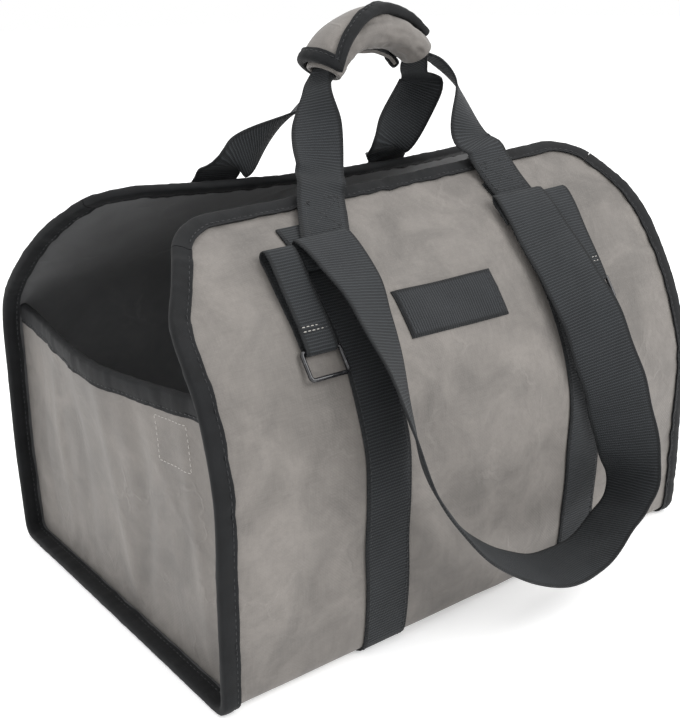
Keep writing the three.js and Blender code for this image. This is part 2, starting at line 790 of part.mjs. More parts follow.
// A wire bent to a rectangle with round corners, hung by its top bar from the origin of a frame
function wireRing(name, { point, across, down, normal }, width, height, corner, wire) {
  const middleWidth = (width - wire) / 2;
  const middleHeight = height - wire;
  const path = [];
  const centres = [
    [middleWidth - corner, corner, -90],
    [middleWidth - corner, middleHeight - corner, 0],
    [corner - middleWidth, middleHeight - corner, 90],
    [corner - middleWidth, corner, 180],
  ];
  centres.forEach(([x, y, start]) => {
    for (let k = 0; k <= steps.arc; k += 1) {
      const angle = ((start + (k * 90) / steps.arc) * Math.PI) / 180;
      path.push({ at: [x + corner * Math.cos(angle), y + corner * Math.sin(angle)], out: angle });
    }
  });
  const sides = 6;
  const outlines = path.map(({ at, out }) => {
    const centre = point.clone().addScaledVector(across, at[0]).addScaledVector(down, at[1]);
    const outward = across.clone().multiplyScalar(Math.cos(out)).addScaledVector(down, Math.sin(out));
    const outline = [];
    for (let k = 0; k < sides; k += 1) {
      const angle = (k / sides) * 2 * Math.PI;
      outline.push(centre.clone().addScaledVector(outward, (wire / 2) * Math.cos(angle))
        .addScaledVector(normal, (wire / 2) * Math.sin(angle)));
    }
    return outline;
  });
  return sweep(name, outlines, null, wireColour, 0.35, 0.9);
}

function ringStrap(side, x) {
  const clear = canvas / 2 + gap;
  const placeAt = (down, height) => atPlace(x, ringStrapTop + down, height);
  const barHeight = clear + lightWebbing + gap + ringWire / 2;
  const rear = spineRows.map((d) => d - ringStrapTop).filter((d) => d > rowRoom && d < ringStrapLength - rowRoom);
  return [
    foldedStrap(`${side}_ring_strap`, placeAt, rear, ringStrapWidth, lightWebbing, ringStrapLength, ringStrapLoop,
      ringWire, clear),
    wireRing(`${side}_ring`, placeAt(ringStrapLength, barHeight), ringWidth, ringHeight, ringCorner, ringWire),
  ];
}

// A small folded tab on the left end panel, beside the front seam, holds a thin wire loop
function cornerLoop() {
  const clear = canvas / 2 + gap;
  const bulge = 2 * tape + 2 * gap + cornerWire;
  const panelDepth = baseDepth - canvas;
  const placeAt = (down, height) => {
    const level = 1 - (endReach + cornerTabDrop + down) / endHeight;
    const { point, normal } = onEnd(front, cornerTabInset / panelDepth, level, seam);
    const across = new THREE.Vector3(0, 1, 0).addScaledVector(normal, -normal.y).normalize();
    return { point: point.addScaledVector(normal, height), normal, across, down: across.clone().cross(normal).negate() };
  };
  const barHeight = clear + tape + gap + cornerWire / 2;
  const frame = placeAt(cornerTabLength, barHeight);
  if (frame.down.z > 0) {
    frame.down.negate();
  }
  return [
    foldedStrap("corner_tab", placeAt, [cornerTabLength / 2], cornerTabWidth, tape, cornerTabLength, bulge,
      cornerWire, clear),
    wireRing("corner_wire", frame, cornerWireWidth, cornerWireHeight, cornerWire, cornerWire),
  ];
}

function frontPatch() {
  const columns = 4;
  const rows = 3;
  const placeAt = (i, j) =>
    atPlace(patchPlace + lerp(-patchLength / 2, patchLength / 2, i / columns), patchTop + (patchWidth * j) / rows);
  return sheetSolid("front_patch", columns, rows, placeAt, canvas / 2 + gap, canvas / 2 + gap + webbing,
    webbingColour);
}

const carrier = new THREE.Group();
carrier.add(
  mainPanel(),
  endPanel("left_end_panel", -1),
  endPanel("right_end_panel", 1),
  ...edgeBindings(),
  endBinding("left_end_binding", -1),
  endBinding("right_end_binding", 1),
  band("left_band", -bandSpread),
  band("right_band", bandSpread),
  handle("front_handle", front),
  handle("back_handle", back),
  gripWrap(),
  gripFlapPiece(),
  gripBinding(),
  shoulderStrap("front_shoulder_strap", front),
  shoulderStrap("back_shoulder_strap", back),
  ...ringStrap("left", leftRingPlace),
  ...ringStrap("right", rightRingPlace),
  ...cornerLoop(),
  frontPatch(),
);

export default carrier;
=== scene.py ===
"""Canvas log carrier: waxed canvas, lining, webbing, tape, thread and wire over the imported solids.

Lengths in the tables and constants are millimetres, as in the part's source, and meshes are metres.
"""
import math

import bpy
import numpy as np
from mathutils import Matrix


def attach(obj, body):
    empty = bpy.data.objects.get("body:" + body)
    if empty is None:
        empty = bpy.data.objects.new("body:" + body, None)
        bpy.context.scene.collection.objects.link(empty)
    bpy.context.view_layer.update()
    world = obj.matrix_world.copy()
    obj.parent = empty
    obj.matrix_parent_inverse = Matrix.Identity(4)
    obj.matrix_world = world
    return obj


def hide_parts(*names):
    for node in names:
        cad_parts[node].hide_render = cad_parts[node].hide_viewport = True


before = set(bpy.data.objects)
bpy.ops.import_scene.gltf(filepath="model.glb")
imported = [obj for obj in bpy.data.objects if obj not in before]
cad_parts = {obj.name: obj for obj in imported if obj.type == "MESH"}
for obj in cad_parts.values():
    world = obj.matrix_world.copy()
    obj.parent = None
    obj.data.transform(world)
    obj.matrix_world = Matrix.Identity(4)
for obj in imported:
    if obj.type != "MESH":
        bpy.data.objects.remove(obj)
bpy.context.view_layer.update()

bl_info = {
    "name": "Canvas Log Carrier",
    "version": (1, 0, 0),
    "blender": (4, 5, 0),
    "location": "3D View > Sidebar > Log Carrier",
    "description": "Builds a canvas log carrier with webbing handles, a padded grip and its studio",
    "category": "Add Mesh",
}

MM = 0.001
FRONT, BACK = -1, 1
Z_AXIS = np.array([0.0, 0.0, 1.0])

# Bag
BASE_LENGTH, BASE_DEPTH, END_HEIGHT, FLAP_RISE = 460.0, 320.0, 205.0, 105.0
LEAN = {FRONT: 106.0, BACK: 128.0}
FLAP_TAPER, FLAP_TILT, FLAP_SAG, FLAP_PULL = 44.0, 20.0, 6.0, 12.0
WALL_BELLY, BASE_ROUND, FLAP_ROUND, FLAP_LENGTH = 5.0, 9.0, 26.0, 140.0
END_BOW, END_SAG = 14.0, 7.0

# Cloth, webbing and tape
CANVAS, WEBBING, LIGHT_WEBBING, TAPE = 2.0, 1.8, 1.5, 1.2
GAP, SEAM, TAPE_ROOM, SEAM_REACH, END_REACH = 0.3, 1.0, 0.8, 11.0, 13.0
BASE_MIDDLE = WEBBING + GAP + CANVAS / 2

# Bands, handles and grip
BAND_WIDTH, BAND_SPREAD, BAND_TOP = 38.0, 99.0, 30.0
HANDLE_ROOT, HANDLE_RISE, HANDLE_LEAVE, HANDLE_LEAN = 78.0, 7.0, 14.0, 36.0
HANDLE_TURN, HANDLE_SWING, HANDLE_PART = 36.0, 17.0, 1.4
HANDLE_LAYER = CANVAS / 2 + 3 * GAP + 1.5 * WEBBING
GRIP_LENGTH, GRIP_ARC, GRIP_DEPTH, GRIP_HEIGHT, GRIP_WALL = 106.0, 104.0, 34.0, 25.0, 3.5
GRIP_OFFSET, GRIP_LIFT, GRIP_TILT, GRIP_FOLD, GRIP_HOLD = 21.0, 411.0, 7.0, 22.0, 8.0
GRIP_FLAP, GRIP_REACH, GRIP_ROOM = 2.6, 7.0, 1.1

# Shoulder straps
STRAP_WIDTH, STRAP_LEFT, STRAP_RIGHT, STRAP_DROP = 48.0, -96.0, 95.0, 250.0
STRAP_OUT, STRAP_FOLD, STRAP_HEM, STRAP_BEND, STRAP_CLEAR = 54.0, 52.0, 24.0, 4.0, 3.0

# Ring straps, rings and the corner loop
RING_STRAP_WIDTH, RING_STRAP_LENGTH, RING_STRAP_TOP, RING_STRAP_LOOP = 25.0, 77.0, 54.0, 8.0
RING_PLACES = {"left": -133.5, "right": 132.5}
RING_WIDTH, RING_HEIGHT, RING_WIRE, RING_CORNER = 33.0, 22.0, 3.0, 2.4
TAB_WIDTH, TAB_LENGTH, TAB_DROP, TAB_INSET = 4.4, 12.0, 3.0, 9.0
LOOP_WIRE, LOOP_WIDTH, LOOP_HEIGHT = 1.4, 9.0, 20.0

# Patch
PATCH_LENGTH, PATCH_WIDTH, PATCH_PLACE, PATCH_TOP = 95.0, 36.0, -11.0, 104.0

# Sections of front and back, from the flap's top down: share of height, of lean and of taper
FLAP, WALL = "flap", "wall"
SECTIONS = {
    FRONT: [
        (FLAP, 1.0, 1.0, 1.0), (FLAP, 0.88, 0.81, 0.74), (FLAP, 0.7, 0.58, 0.4),
        (FLAP, 0.5, 0.43, 0.14), (FLAP, 0.25, 0.265, 0.08), (WALL, 1.0, 0.13, 0.08),
        (WALL, 0.75, -0.01, 0.05), (WALL, 0.45, -0.01, 0.02), (WALL, 0.2, -0.01, 0.0),
    ],
    BACK: [
        (FLAP, 1.0, 1.0, 1.0), (FLAP, 0.88, 0.8, 0.66), (FLAP, 0.66, 0.54, 0.3),
        (FLAP, 0.35, 0.27, 0.08), (FLAP, 0.1, 0.08, 0.03), (WALL, 0.95, 0.02, 0.02),
        (WALL, 0.7, -0.01, 0.02), (WALL, 0.4, -0.02, 0.0), (WALL, 0.2, -0.01, 0.0),
    ],
}

# Free run of a shoulder strap: share along, share out, share down and its turn in degrees
STRAP_RUN = [
    (0.01, -0.55, 0.06, 20), (0.01, -0.22, 0.15, 32), (0.01, 0.1, 0.26, 44), (0.01, 0.42, 0.4, 53),
    (0.02, 0.74, 0.54, 60), (0.1, 0.87, 0.66, 66), (0.22, 0.91, 0.77, 70), (0.42, 0.93, 0.88, 72),
    (0.6, 0.92, 0.94, 70), (0.82, 0.86, 0.95, 66), (1.0, 0.78, 0.9, 64), (1.1, 0.74, 0.855, 72),
    (1.15, 0.7, 0.79, 96), (1.13, 0.64, 0.7, 122), (1.1, 0.57, 0.59, 136), (1.05, 0.48, 0.45, 146),
    (1.01, 0.1, 0.25, 152), (1.0, -0.5, 0.1, 158),
]
# Turn of a handle beyond the grip: shares past its end, of its swing, unfolded and of its parting
HANDLE_RUN = [(0.06, 0.0, 0.0, 0.5), (0.42, 0.5, 0.2, 3.0), (1.0, 1.1, 1.0, 0.0)]
GRIP_EDGE = [(0.0, 86), (0.3, 58), (0.6, 22), (0.8, 8), (1.0, 4)]
GRIP_HEM = -150.0
GRIP_MARGIN = 0.02

# Swells, creases and seam puckers of the body's canvas: height, size of the waves and seed
BODY_SWELLS = [(0.55, 120, 11), (0.22, 46, 12)]
BODY_CREASES = [(0.7, 90, 21), (-0.5, 70, 31)]
BODY_PUCKERS = [(0.28, 13, 41)]
# The same of the end panels, whose seeds move with the side
END_SWELLS = [(0.5, 90, 51), (0.2, 36, 53)]
END_CREASES = [(0.7, 80, 55)]
END_PUCKERS = [(0.3, 14, 57)]
# How far in from their edges body and ends are held flat, where puckers begin, and how far up the base holds
BODY_HOLD, END_HOLD, PUCKER_START, UNDER_HOLD = 26.0, 30.0, 9.0, 60.0
# A band's hold on the canvas under it: reach as a share of its width, share of swells lost, and depth
BAND_HOLD, BAND_FLATTEN, BAND_PRESS = 0.62, 0.75, 0.5
# How far in an end panel's puckers reach, and where they begin
END_PUCKER_REACH, END_PUCKER_START = 22.0, 8.0

# Soft dents of the canvas: place along, distance from the flap's top, reach along and down, depth
DENTS = [
    (-150, 210, 30, 90, -1.4), (-30, 300, 60, 60, 1.2), (40, 190, 50, 55, -1.3), (150, 260, 34, 90, 1.3),
    (160, 120, 34, 50, -1.4), (-60, 130, 40, 40, 1.0), (20, 60, 60, 34, -1.2), (-165, 90, 30, 40, 1.2),
    (10, 960, 60, 70, 1.4), (-150, 1000, 34, 80, -1.2), (150, 930, 34, 90, 1.2), (0, 1110, 70, 44, -1.8),
    (-140, 1120, 36, 40, 1.6), (140, 1100, 36, 44, -1.4), (0, 590, 70, 90, 0.9), (160, 600, 40, 70, -0.9),
]
# Upright folds of an end panel: share across, lean of the fold, reach across and height
FOLD_DEPTH = 1.5
END_FOLDS = [
    (0.14, 0.04, 0.025, 1.3), (0.36, -0.05, 0.035, -1.9), (0.47, 0.03, 0.03, 1.5), (0.66, 0.06, 0.04, -1.6),
    (0.78, -0.03, 0.025, 1.4), (0.9, 0.02, 0.02, -0.9),
]


# Curves and noise
def unit(vectors):
    """Vectors at length one."""
    vectors = np.asarray(vectors, float)
    return vectors / np.maximum(np.linalg.norm(vectors, axis=-1, keepdims=True), 1e-12)


def lerp(a, b, share):
    """The value a share of the way from a to b."""
    return a + (b - a) * share


def smooth(value):
    """An eased step from 0 to 1."""
    value = np.clip(value, 0.0, 1.0)
    return value * value * (3 - 2 * value)


def read_columns(at, places, table):
    """Each column of a table that is given at places, read at other places."""
    return np.stack([np.interp(at, places, table[:, k]) for k in range(table.shape[1])], -1)


def catmull_rom(knots, per_span):
    """Points along a centripetal spline through the knots, per_span of them to each span."""
    knots = np.asarray(knots, float)
    p = np.concatenate([[2 * knots[0] - knots[1]], knots, [2 * knots[-1] - knots[-2]]])
    gaps = np.linalg.norm(np.diff(p[:, :3], axis=0), axis=1) ** 0.5
    t = np.linspace(0, 1, per_span, endpoint=False)[:, None]
    spans = []
    for i in range(len(knots) - 1):
        a, b, c, d = p[i:i + 4]
        before, here, after = gaps[i:i + 3]
        start = ((b - a) / before - (c - a) / (before + here) + (c - b) / here) * here
        end = ((c - b) / here - (d - b) / (here + after) + (d - c) / after) * here
        square, cube = 3 * (c - b) - 2 * start - end, 2 * (b - c) + start + end
        spans.append(b + start * t + square * t**2 + cube * t**3)
    return np.concatenate([*spans, knots[-1:]])


def distances(points):
    """Distance of each point along the line through them."""
    return np.concatenate([[0.0], np.cumsum(np.linalg.norm(np.diff(points, axis=0), axis=1))])


def resample(at, *arrays, step):
    """Arrays given at distances, read again at even ones."""
    even = np.linspace(0, at[-1], max(2, int(round(at[-1] / step)) + 1))
    return [read_columns(even, at, a) for a in arrays]


def waves(x, y, seed, size, count=16):
    """Smooth seeded noise of about unit strength, with waves of about the given size."""
    rng = np.random.default_rng(seed)
    angle, phase = rng.uniform(0, 2 * math.pi, (2, count))
    rate = 2 * math.pi / (size * rng.uniform(0.7, 1.6, count))
    total = sum(np.sin(x * r * math.cos(a) + y * r * math.sin(a) + p)
                for a, p, r in zip(angle, phase, rate))
    return total / math.sqrt(count / 2)


def creases(x, y, seed, size, width=0.16):
    """Thin winding ridges from 0 to 1 that come and go."""
    line = np.exp(-(waves(x, y, seed, size) / width) ** 2)
    return line * smooth(waves(x, y, seed + 1, size * 1.3) * 0.8)


def layers(kind, x, y, table, shift=0):
    """Noise of one kind, waves or creases, added up from a table of heights, sizes and seeds."""
    return sum(height * kind(x, y, seed + shift, size) for height, size, seed in table)


# The canvas sheet

# Points to a span of its section, of the whole section, and of half of it beside an end and a strap
SPAN_POINTS, SECTION_POINTS, FACE_POINTS, DEPTH_POINTS = 60, 3000, 900, 400
# Steps over which the sheet's directions are measured: a share of its half length and a distance
STEP_ACROSS, STEP_DOWN = 0.008, 2


def section_knots():
    """Points of the sheet's section, down the front, under the base and up the back."""
    def rows(side):
        made = []
        for zone, up, lean, taper in SECTIONS[side]:
            z = END_HEIGHT + up * FLAP_RISE if zone == FLAP else up * END_HEIGHT
            y = side * (BASE_DEPTH / 2 - lean * LEAN[side])
            made.append((BASE_LENGTH / 2 - taper * FLAP_TAPER, y, z))
        return made

    def corner(side):
        made = []
        for angle in np.linspace(0, math.pi / 2, 5):
            y = side * (BASE_DEPTH / 2 - BASE_ROUND + BASE_ROUND * math.cos(angle))
            made.append((BASE_LENGTH / 2, y, BASE_MIDDLE + BASE_ROUND - BASE_ROUND * math.sin(angle)))
        return made

    reach = BASE_DEPTH / 2 - BASE_ROUND
    base = [(BASE_LENGTH / 2, y, BASE_MIDDLE) for y in np.linspace(-reach, reach, 5)[1:-1]]
    return rows(FRONT) + corner(FRONT) + base + corner(BACK)[::-1] + rows(BACK)[::-1]


def even_section():
    """The section at even distances: distances, points and the directions at its two ends."""
    points = catmull_rom(section_knots(), SPAN_POINTS)
    at = distances(points)
    even = np.linspace(0, at[-1], SECTION_POINTS)
    points = read_columns(even, at, points)
    return even, points, unit([points[3] - points[0], points[-1] - points[-4]])


SECTION_AT, SECTION, SECTION_ENDS = even_section()
SECTION_LENGTH = float(SECTION_AT[-1])
ROUND_START = 1 - FLAP_ROUND / (BASE_LENGTH / 2 - FLAP_TAPER)


def section(distance):
    """Half length, depth and height of the section, and what a straight run beyond its ends adds."""
    distance = np.asarray(distance, float)
    along = np.clip(distance, 0.0, SECTION_LENGTH)
    point = read_columns(along, SECTION_AT, SECTION)
    end = np.where((distance < SECTION_LENGTH / 2)[..., None], SECTION_ENDS[0], SECTION_ENDS[1])
    return point, end * (distance - along)[..., None]


def half_length(distance):
    """Half the sheet's length at a distance along its section."""
    return section(distance)[0][..., 0]


def to_end(distance):
    """Distance to the nearer end of the section."""
    return np.minimum(distance, SECTION_LENGTH - distance)


def from_top(side, distance):
    """Distance along the section of a place so far below the top of a side's flap."""
    return distance if side == FRONT else SECTION_LENGTH - distance


def sheet_middle(u, distance):
    """Middle of the plain sheet at a share of its half length and a distance along its section."""
    u, distance = np.broadcast_arrays(np.asarray(u, float), np.asarray(distance, float))
    point, beyond = section(distance)
    side = np.where(distance < SECTION_LENGTH / 2, FRONT, BACK)
    flap = smooth((point[..., 2] - END_HEIGHT) / FLAP_RISE)
    rise = np.clip((point[..., 2] - BASE_MIDDLE - BASE_ROUND) / (END_HEIGHT - BASE_ROUND), 0, 1)
    crown = 1 - u * u
    tilt = np.where(side == FRONT, FLAP_TILT / 2 * u, 0.0)
    bulge = side * crown * (WALL_BELLY * np.sin(math.pi * rise) - FLAP_PULL * flap)
    return np.stack([
        u * (point[..., 0] + beyond[..., 0]),
        point[..., 1] + beyond[..., 1] + bulge,
        point[..., 2] + beyond[..., 2] + flap * (tilt - FLAP_SAG * crown),
    ], -1)


def panel_relief(x, distance, half):
    """Height in millimetres of the canvas's dents, creases and seam puckers above the plain sheet."""
    cloth = bpy.context.scene.carrier_cloth
    total = layers(waves, x, distance, BODY_SWELLS) + layers(creases, x, distance, BODY_CREASES)
    for place, down, wide, tall, depth in DENTS:
        total = total + depth * np.exp(-((x - place) / wide) ** 2 - ((distance - down) / tall) ** 2)
    held = np.exp(-((np.abs(x) - BAND_SPREAD) / (BAND_HOLD * BAND_WIDTH)) ** 4)
    total = total * (1 - BAND_FLATTEN * held) - BAND_PRESS * held
    to_edge = np.minimum(half - np.abs(x), to_end(distance))
    near = np.exp(-(np.maximum(to_edge - SEAM_REACH, 0) / PUCKER_START) ** 2)
    pucker = layers(waves, x, distance, BODY_PUCKERS) * near
    above = section(distance)[0][..., 2] - BASE_MIDDLE
    flat = smooth((above - 4) / UNDER_HOLD)
    total = total * smooth(to_edge / BODY_HOLD) * (0.35 + 0.65 * flat)
    return cloth.relief * (total + pucker * smooth(to_edge / PUCKER_START) * flat)


def sheet_axes(u, distance):
    """Outward normal, across and down directions of the plain sheet."""
    across = unit(sheet_middle(u + STEP_ACROSS, distance) - sheet_middle(u - STEP_ACROSS, distance))
    down = unit(sheet_middle(u, distance + STEP_DOWN) - sheet_middle(u, distance - STEP_DOWN))
    return unit(np.cross(down, across)), across, down


def on_sheet(u, distance, height=0.0):
    """Point, outward normal, across and down directions of the sheet, raised by height."""
    u, distance = np.broadcast_arrays(np.asarray(u, float), np.asarray(distance, float))
    normal, across, down = sheet_axes(u, distance)
    half = half_length(distance)
    lift = panel_relief(u * half, np.clip(distance, 0, SECTION_LENGTH), half) + height
    return sheet_middle(u, distance) + normal * np.asarray(lift)[..., None], normal, across, down


def at_place(x, distance, height=0.0):
    """The same at a fixed place along the bag."""
    return on_sheet(np.asarray(x, float) / half_length(distance), distance, height)


def top_distance(u):
    """How far the flap's rounded corners move its edge down."""
    share = np.clip((np.abs(u) - ROUND_START) / (1 - ROUND_START), 0, 1)
    return FLAP_ROUND * (1 - np.sqrt(1 - share * share))


def row_distance(u, distance):
    """Distance of a row of the sheet, moved down beside the rounded corners."""
    shift = top_distance(u) * np.clip(1 - to_end(distance) / FLAP_LENGTH, 0, 1)
    return np.where(distance < SECTION_LENGTH / 2, distance + shift, distance - shift)


# The end panels
END_INSET = SEAM_REACH + TAPE + TAPE_ROOM + 2 * GAP + CANVAS / 2
END_BOTTOM = BASE_MIDDLE + CANVAS / 2 + GAP
# Size of an end panel's cloth, for the places of its weave and folds
END_ACROSS, END_TALL = 300, 200


def inner_faces(clearance):
    """Tables of height, depth and half length of the sheet's inner face beside an end panel."""
    found = {}
    for side in (FRONT, BACK):
        along = from_top(side, np.linspace(0, SECTION_LENGTH / 2, FACE_POINTS))
        u = 1 - END_INSET / (BASE_LENGTH / 2)
        point = sheet_middle(u, along) - sheet_axes(u, along)[0] * (CANVAS / 2 + clearance)
        point = point[: int(np.argmin(point[:, 2])) + 1]
        order = np.argsort(point[:, 2])
        found[side] = (point[order, 2], point[order, 1], half_length(along)[order])
    return found


INNER_FACES = {clearance: inner_faces(clearance) for clearance in (SEAM, 2 * SEAM)}


def end_place(side, share, level, clearance):
    """Middle of an end panel at a share of its depth and a level of its height."""
    share, level = np.broadcast_arrays(np.asarray(share, float), np.asarray(level, float))
    sine = np.sin(math.pi * np.clip(share, 0, 1))
    z = lerp(END_BOTTOM, END_HEIGHT - END_SAG * sine, level)
    seen = np.maximum(z, BASE_MIDDLE + CANVAS / 2 + clearance + GAP / 4)
    near, far = INNER_FACES[clearance][FRONT], INNER_FACES[clearance][BACK]
    y = lerp(np.interp(seen, near[0], near[1]), np.interp(seen, far[0], far[1]), share)
    half = lerp(np.interp(seen, near[0], near[2]), np.interp(seen, far[0], far[2]), share) - END_INSET
    return np.stack([side * (half + END_BOW * sine**2 * np.maximum(level, 0) ** 1.5), y, z], -1)


def end_to_edge(share, level, top):
    """Distance to an end panel's nearest edge, whose upper one is at the level top."""
    return np.minimum(np.minimum(share, 1 - share) * END_ACROSS, np.minimum(level, top - level) * END_TALL)


def end_relief(side, share, level):
    """Height of an end panel's upright folds and small dents."""
    cloth = bpy.context.scene.carrier_cloth
    x, y = share * END_ACROSS, level * END_TALL
    total = layers(waves, x, y, END_SWELLS, side) + layers(creases, x, y, END_CREASES, side)
    for place, slant, reach, height in END_FOLDS:
        middle = place + slant * (level - 0.5) + 0.012 * np.sin(level * 7 + place * 20)
        fold = np.exp(-((share - middle) / reach) ** 2) * smooth(1.25 - np.abs(level - 0.5) * 1.9)
        total = total + FOLD_DEPTH * height * fold
    to_edge = end_to_edge(share, level, 1.04)
    pucker = layers(waves, x, y, END_PUCKERS, side) * np.exp(-(to_edge / END_PUCKER_REACH) ** 2)
    pucker = pucker * smooth(to_edge / END_PUCKER_START)
    return cloth.relief * (total * smooth(to_edge / END_HOLD) + pucker)


def on_end(side, share, level, clearance=SEAM, height=0.0):
    """Point and outward normal of an end panel."""
    def place(share, level):
        return end_place(side, share, level, clearance)

    step = 0.01
    share, level = np.broadcast_arrays(np.asarray(share, float), np.asarray(level, float))
    along = place(np.minimum(1, share + step), level) - place(np.maximum(0, share - step), level)
    up = place(share, np.minimum(1, level + step)) - place(share, np.maximum(0, level - step))
    normal = unit(np.cross(along, up))
    normal = normal * np.sign(normal[..., :1] * side)
    lift = end_relief(side, share, level) + height
    return place(share, level) + normal * np.asarray(lift)[..., None], normal


# Meshes
def grid_quads(rows, columns, wrap_rows=False, wrap_columns=False):
    """Quads of a grid of vertices numbered row by row."""
    i = np.arange(rows if wrap_rows else rows - 1)[:, None]
    j = np.arange(columns if wrap_columns else columns - 1)[None, :]
    i, j = np.broadcast_arrays(i, j)
    k, m = (i + 1) % rows, (j + 1) % columns
    return np.stack([i * columns + j, i * columns + m, k * columns + m, k * columns + j], -1).reshape(-1, 4)


def signed_volume(points, quads):
    """Volume inside closed quads, negative where they face inward."""
    a, b, c, d = (points[quads[:, k]] for k in range(4))
    return float((a * np.cross(b, c)).sum() + (a * np.cross(c, d)).sum())


def make_piece(name, points, quads, cloth, edge, materials, which=None, caps=(), crease=40):
    """A closed mesh object with cloth places in metres and its distance from its nearest edge."""
    points = np.asarray(points, float)
    faces = np.asarray(quads)
    flip = signed_volume(points, faces) < 0
    loops = [f[::-1] if flip else f for f in [*faces.tolist(), *[list(c) for c in caps]]]
    mesh = bpy.data.meshes.new(name)
    mesh.from_pydata((points * MM).tolist(), [], loops)
    for one in materials:
        mesh.materials.append(material(one))
    if which is not None:
        slots = np.concatenate([which, np.zeros(len(caps), int)])
        mesh.polygons.foreach_set("material_index", slots.astype(np.int32))
    mesh.polygons.foreach_set("use_smooth", np.ones(len(mesh.polygons), bool))
    corner = np.zeros(len(mesh.loops), np.int32)
    mesh.loops.foreach_get("vertex_index", corner)
    layer = mesh.uv_layers.new(name="cloth")
    layer.uv.foreach_set("vector", (np.asarray(cloth, float) * MM)[corner].astype(np.float32).ravel())
    fade = mesh.attributes.new("edge", "FLOAT", "POINT")
    fade.data.foreach_set("value", (np.asarray(edge, float) * MM).astype(np.float32).ravel())
    mesh.set_sharp_from_angle(angle=math.radians(crease))
    mesh.update()
    made = bpy.data.objects.new(name, mesh)
    bpy.context.scene.collection.objects.link(made)
    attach(made, "root")
    return made


def closed_sheet(name, outer, inner, cloth, edge, materials):
    """A sheet between two grids of points, its rim closed."""
    rows, columns = outer.shape[:2]
    count = rows * columns
    face = grid_quads(rows, columns)
    index = np.arange(count).reshape(rows, columns)
    ring = np.concatenate([index[0, :-1], index[:-1, -1], index[-1, :0:-1], index[:0:-1, 0]])
    after = np.roll(ring, -1)
    rim = np.stack([ring, ring + count, after + count, after], 1)
    points = np.concatenate([outer.reshape(-1, 3), inner.reshape(-1, 3)])
    which = np.concatenate([np.zeros(len(face)), np.ones(len(face)), np.zeros(len(rim))])
    if len(materials) == 1:
        which[:] = 0
    return make_piece(name, points, np.concatenate([face, face[:, ::-1] + count, rim]),
                      np.tile(cloth.reshape(-1, 2), (2, 1)), np.tile(edge.ravel(), 2), materials, which)


def loft(name, rings, cloth, edge, materials, closed=False, crease=40):
    """A solid through rings of equal points, closed on itself or capped."""
    rows, columns = rings.shape[:2]
    quads = grid_quads(rows, columns, wrap_rows=closed, wrap_columns=True)
    caps = [] if closed else [range(columns), range(rows * columns - 1, (rows - 1) * columns - 1, -1)]
    return make_piece(name, rings.reshape(-1, 3), quads, cloth.reshape(-1, 2), edge.ravel(), materials,
                      caps=caps, crease=crease)


def webbing_outline(half, thickness, across=9):
    """Outline of webbing with round edges: places across it and heights."""
    r = thickness / 2
    flat = np.linspace(-(half - r), half - r, across)
    turn = np.linspace(-math.pi / 2, math.pi / 2, 5)[1:-1]
    right = np.stack([half - r + r * np.cos(turn), r * np.sin(turn)], 1)
    left = np.stack([-(half - r) - r * np.cos(turn), -r * np.sin(turn)], 1)
    low = np.stack([flat, np.full(across, -r)], 1)
    high = np.stack([flat[::-1], np.full(across, r)], 1)
    return np.concatenate([low, right, high, left])


# Seeds of the tapes and webbings, to which a number is added for each piece
SEEDS = {"edge": 60, "end": 90, "band": 200, "handle": 310, "shoulder": 330, "grip": 420}
# Height and size of the wander of webbing's edges
WANDER, WANDER_SIZE = 0.35, 60


def webbing(name, points, across, normal, widths, thickness, closed=False, seed=1):
    """Flat webbing through stations, with round edges that wander a little unless it is closed."""
    half = widths.mean() / 2
    outline = webbing_outline(half, thickness)
    at = distances(points)
    scale = (widths / widths.mean())[:, None]
    wander = 0.0 if closed else WANDER * waves(at[:, None], np.zeros((1, 1)), seed, WANDER_SIZE)
    a = outline[None, :, 0] * scale + wander
    n = np.broadcast_to(outline[None, :, 1], a.shape)
    rings = points[:, None] + across[:, None] * a[..., None] + normal[:, None] * n[..., None]
    places = np.broadcast_to(outline[None, :, 0], a.shape)
    cloth = np.stack([np.broadcast_to(at[:, None], a.shape), places], -1)
    return loft(name, rings, cloth, half - np.abs(places), ("webbing",), closed=closed, crease=50)


def run_through(rows, step=3.2, settle=10):
    """Even stations through control rows of point, across direction and width."""
    points = catmull_rom([r[0] for r in rows], 24)
    extra = np.array([[*r[1], r[2]] for r in rows], float)
    spans = np.linspace(0, len(rows) - 1, len(points))
    extra = read_columns(spans, np.arange(len(rows)), extra)
    points, extra = resample(distances(points), points, extra, step=step)
    across, widths = extra[:, :3], extra[:, 3]
    for _ in range(settle):
        across[1:-1] = (across[:-2] + 2 * across[1:-1] + across[2:]) / 4
        widths[1:-1] = (widths[:-2] + 2 * widths[1:-1] + widths[2:]) / 4
    tangent = unit(np.gradient(points, axis=0))
    across = unit(across - tangent * (across * tangent).sum(1, keepdims=True))
    return points, across, unit(np.cross(tangent, across)), widths


# How far tape's stitches are from its edge, and its puckers out and sideways: height, size and added seed
STITCH_INSET = 2.4
TAPE_SWELLS = [(0.16, 9, 0), (0.14, 34, 1)]
TAPE_SLIDE = [(0.22, 26, 2)]


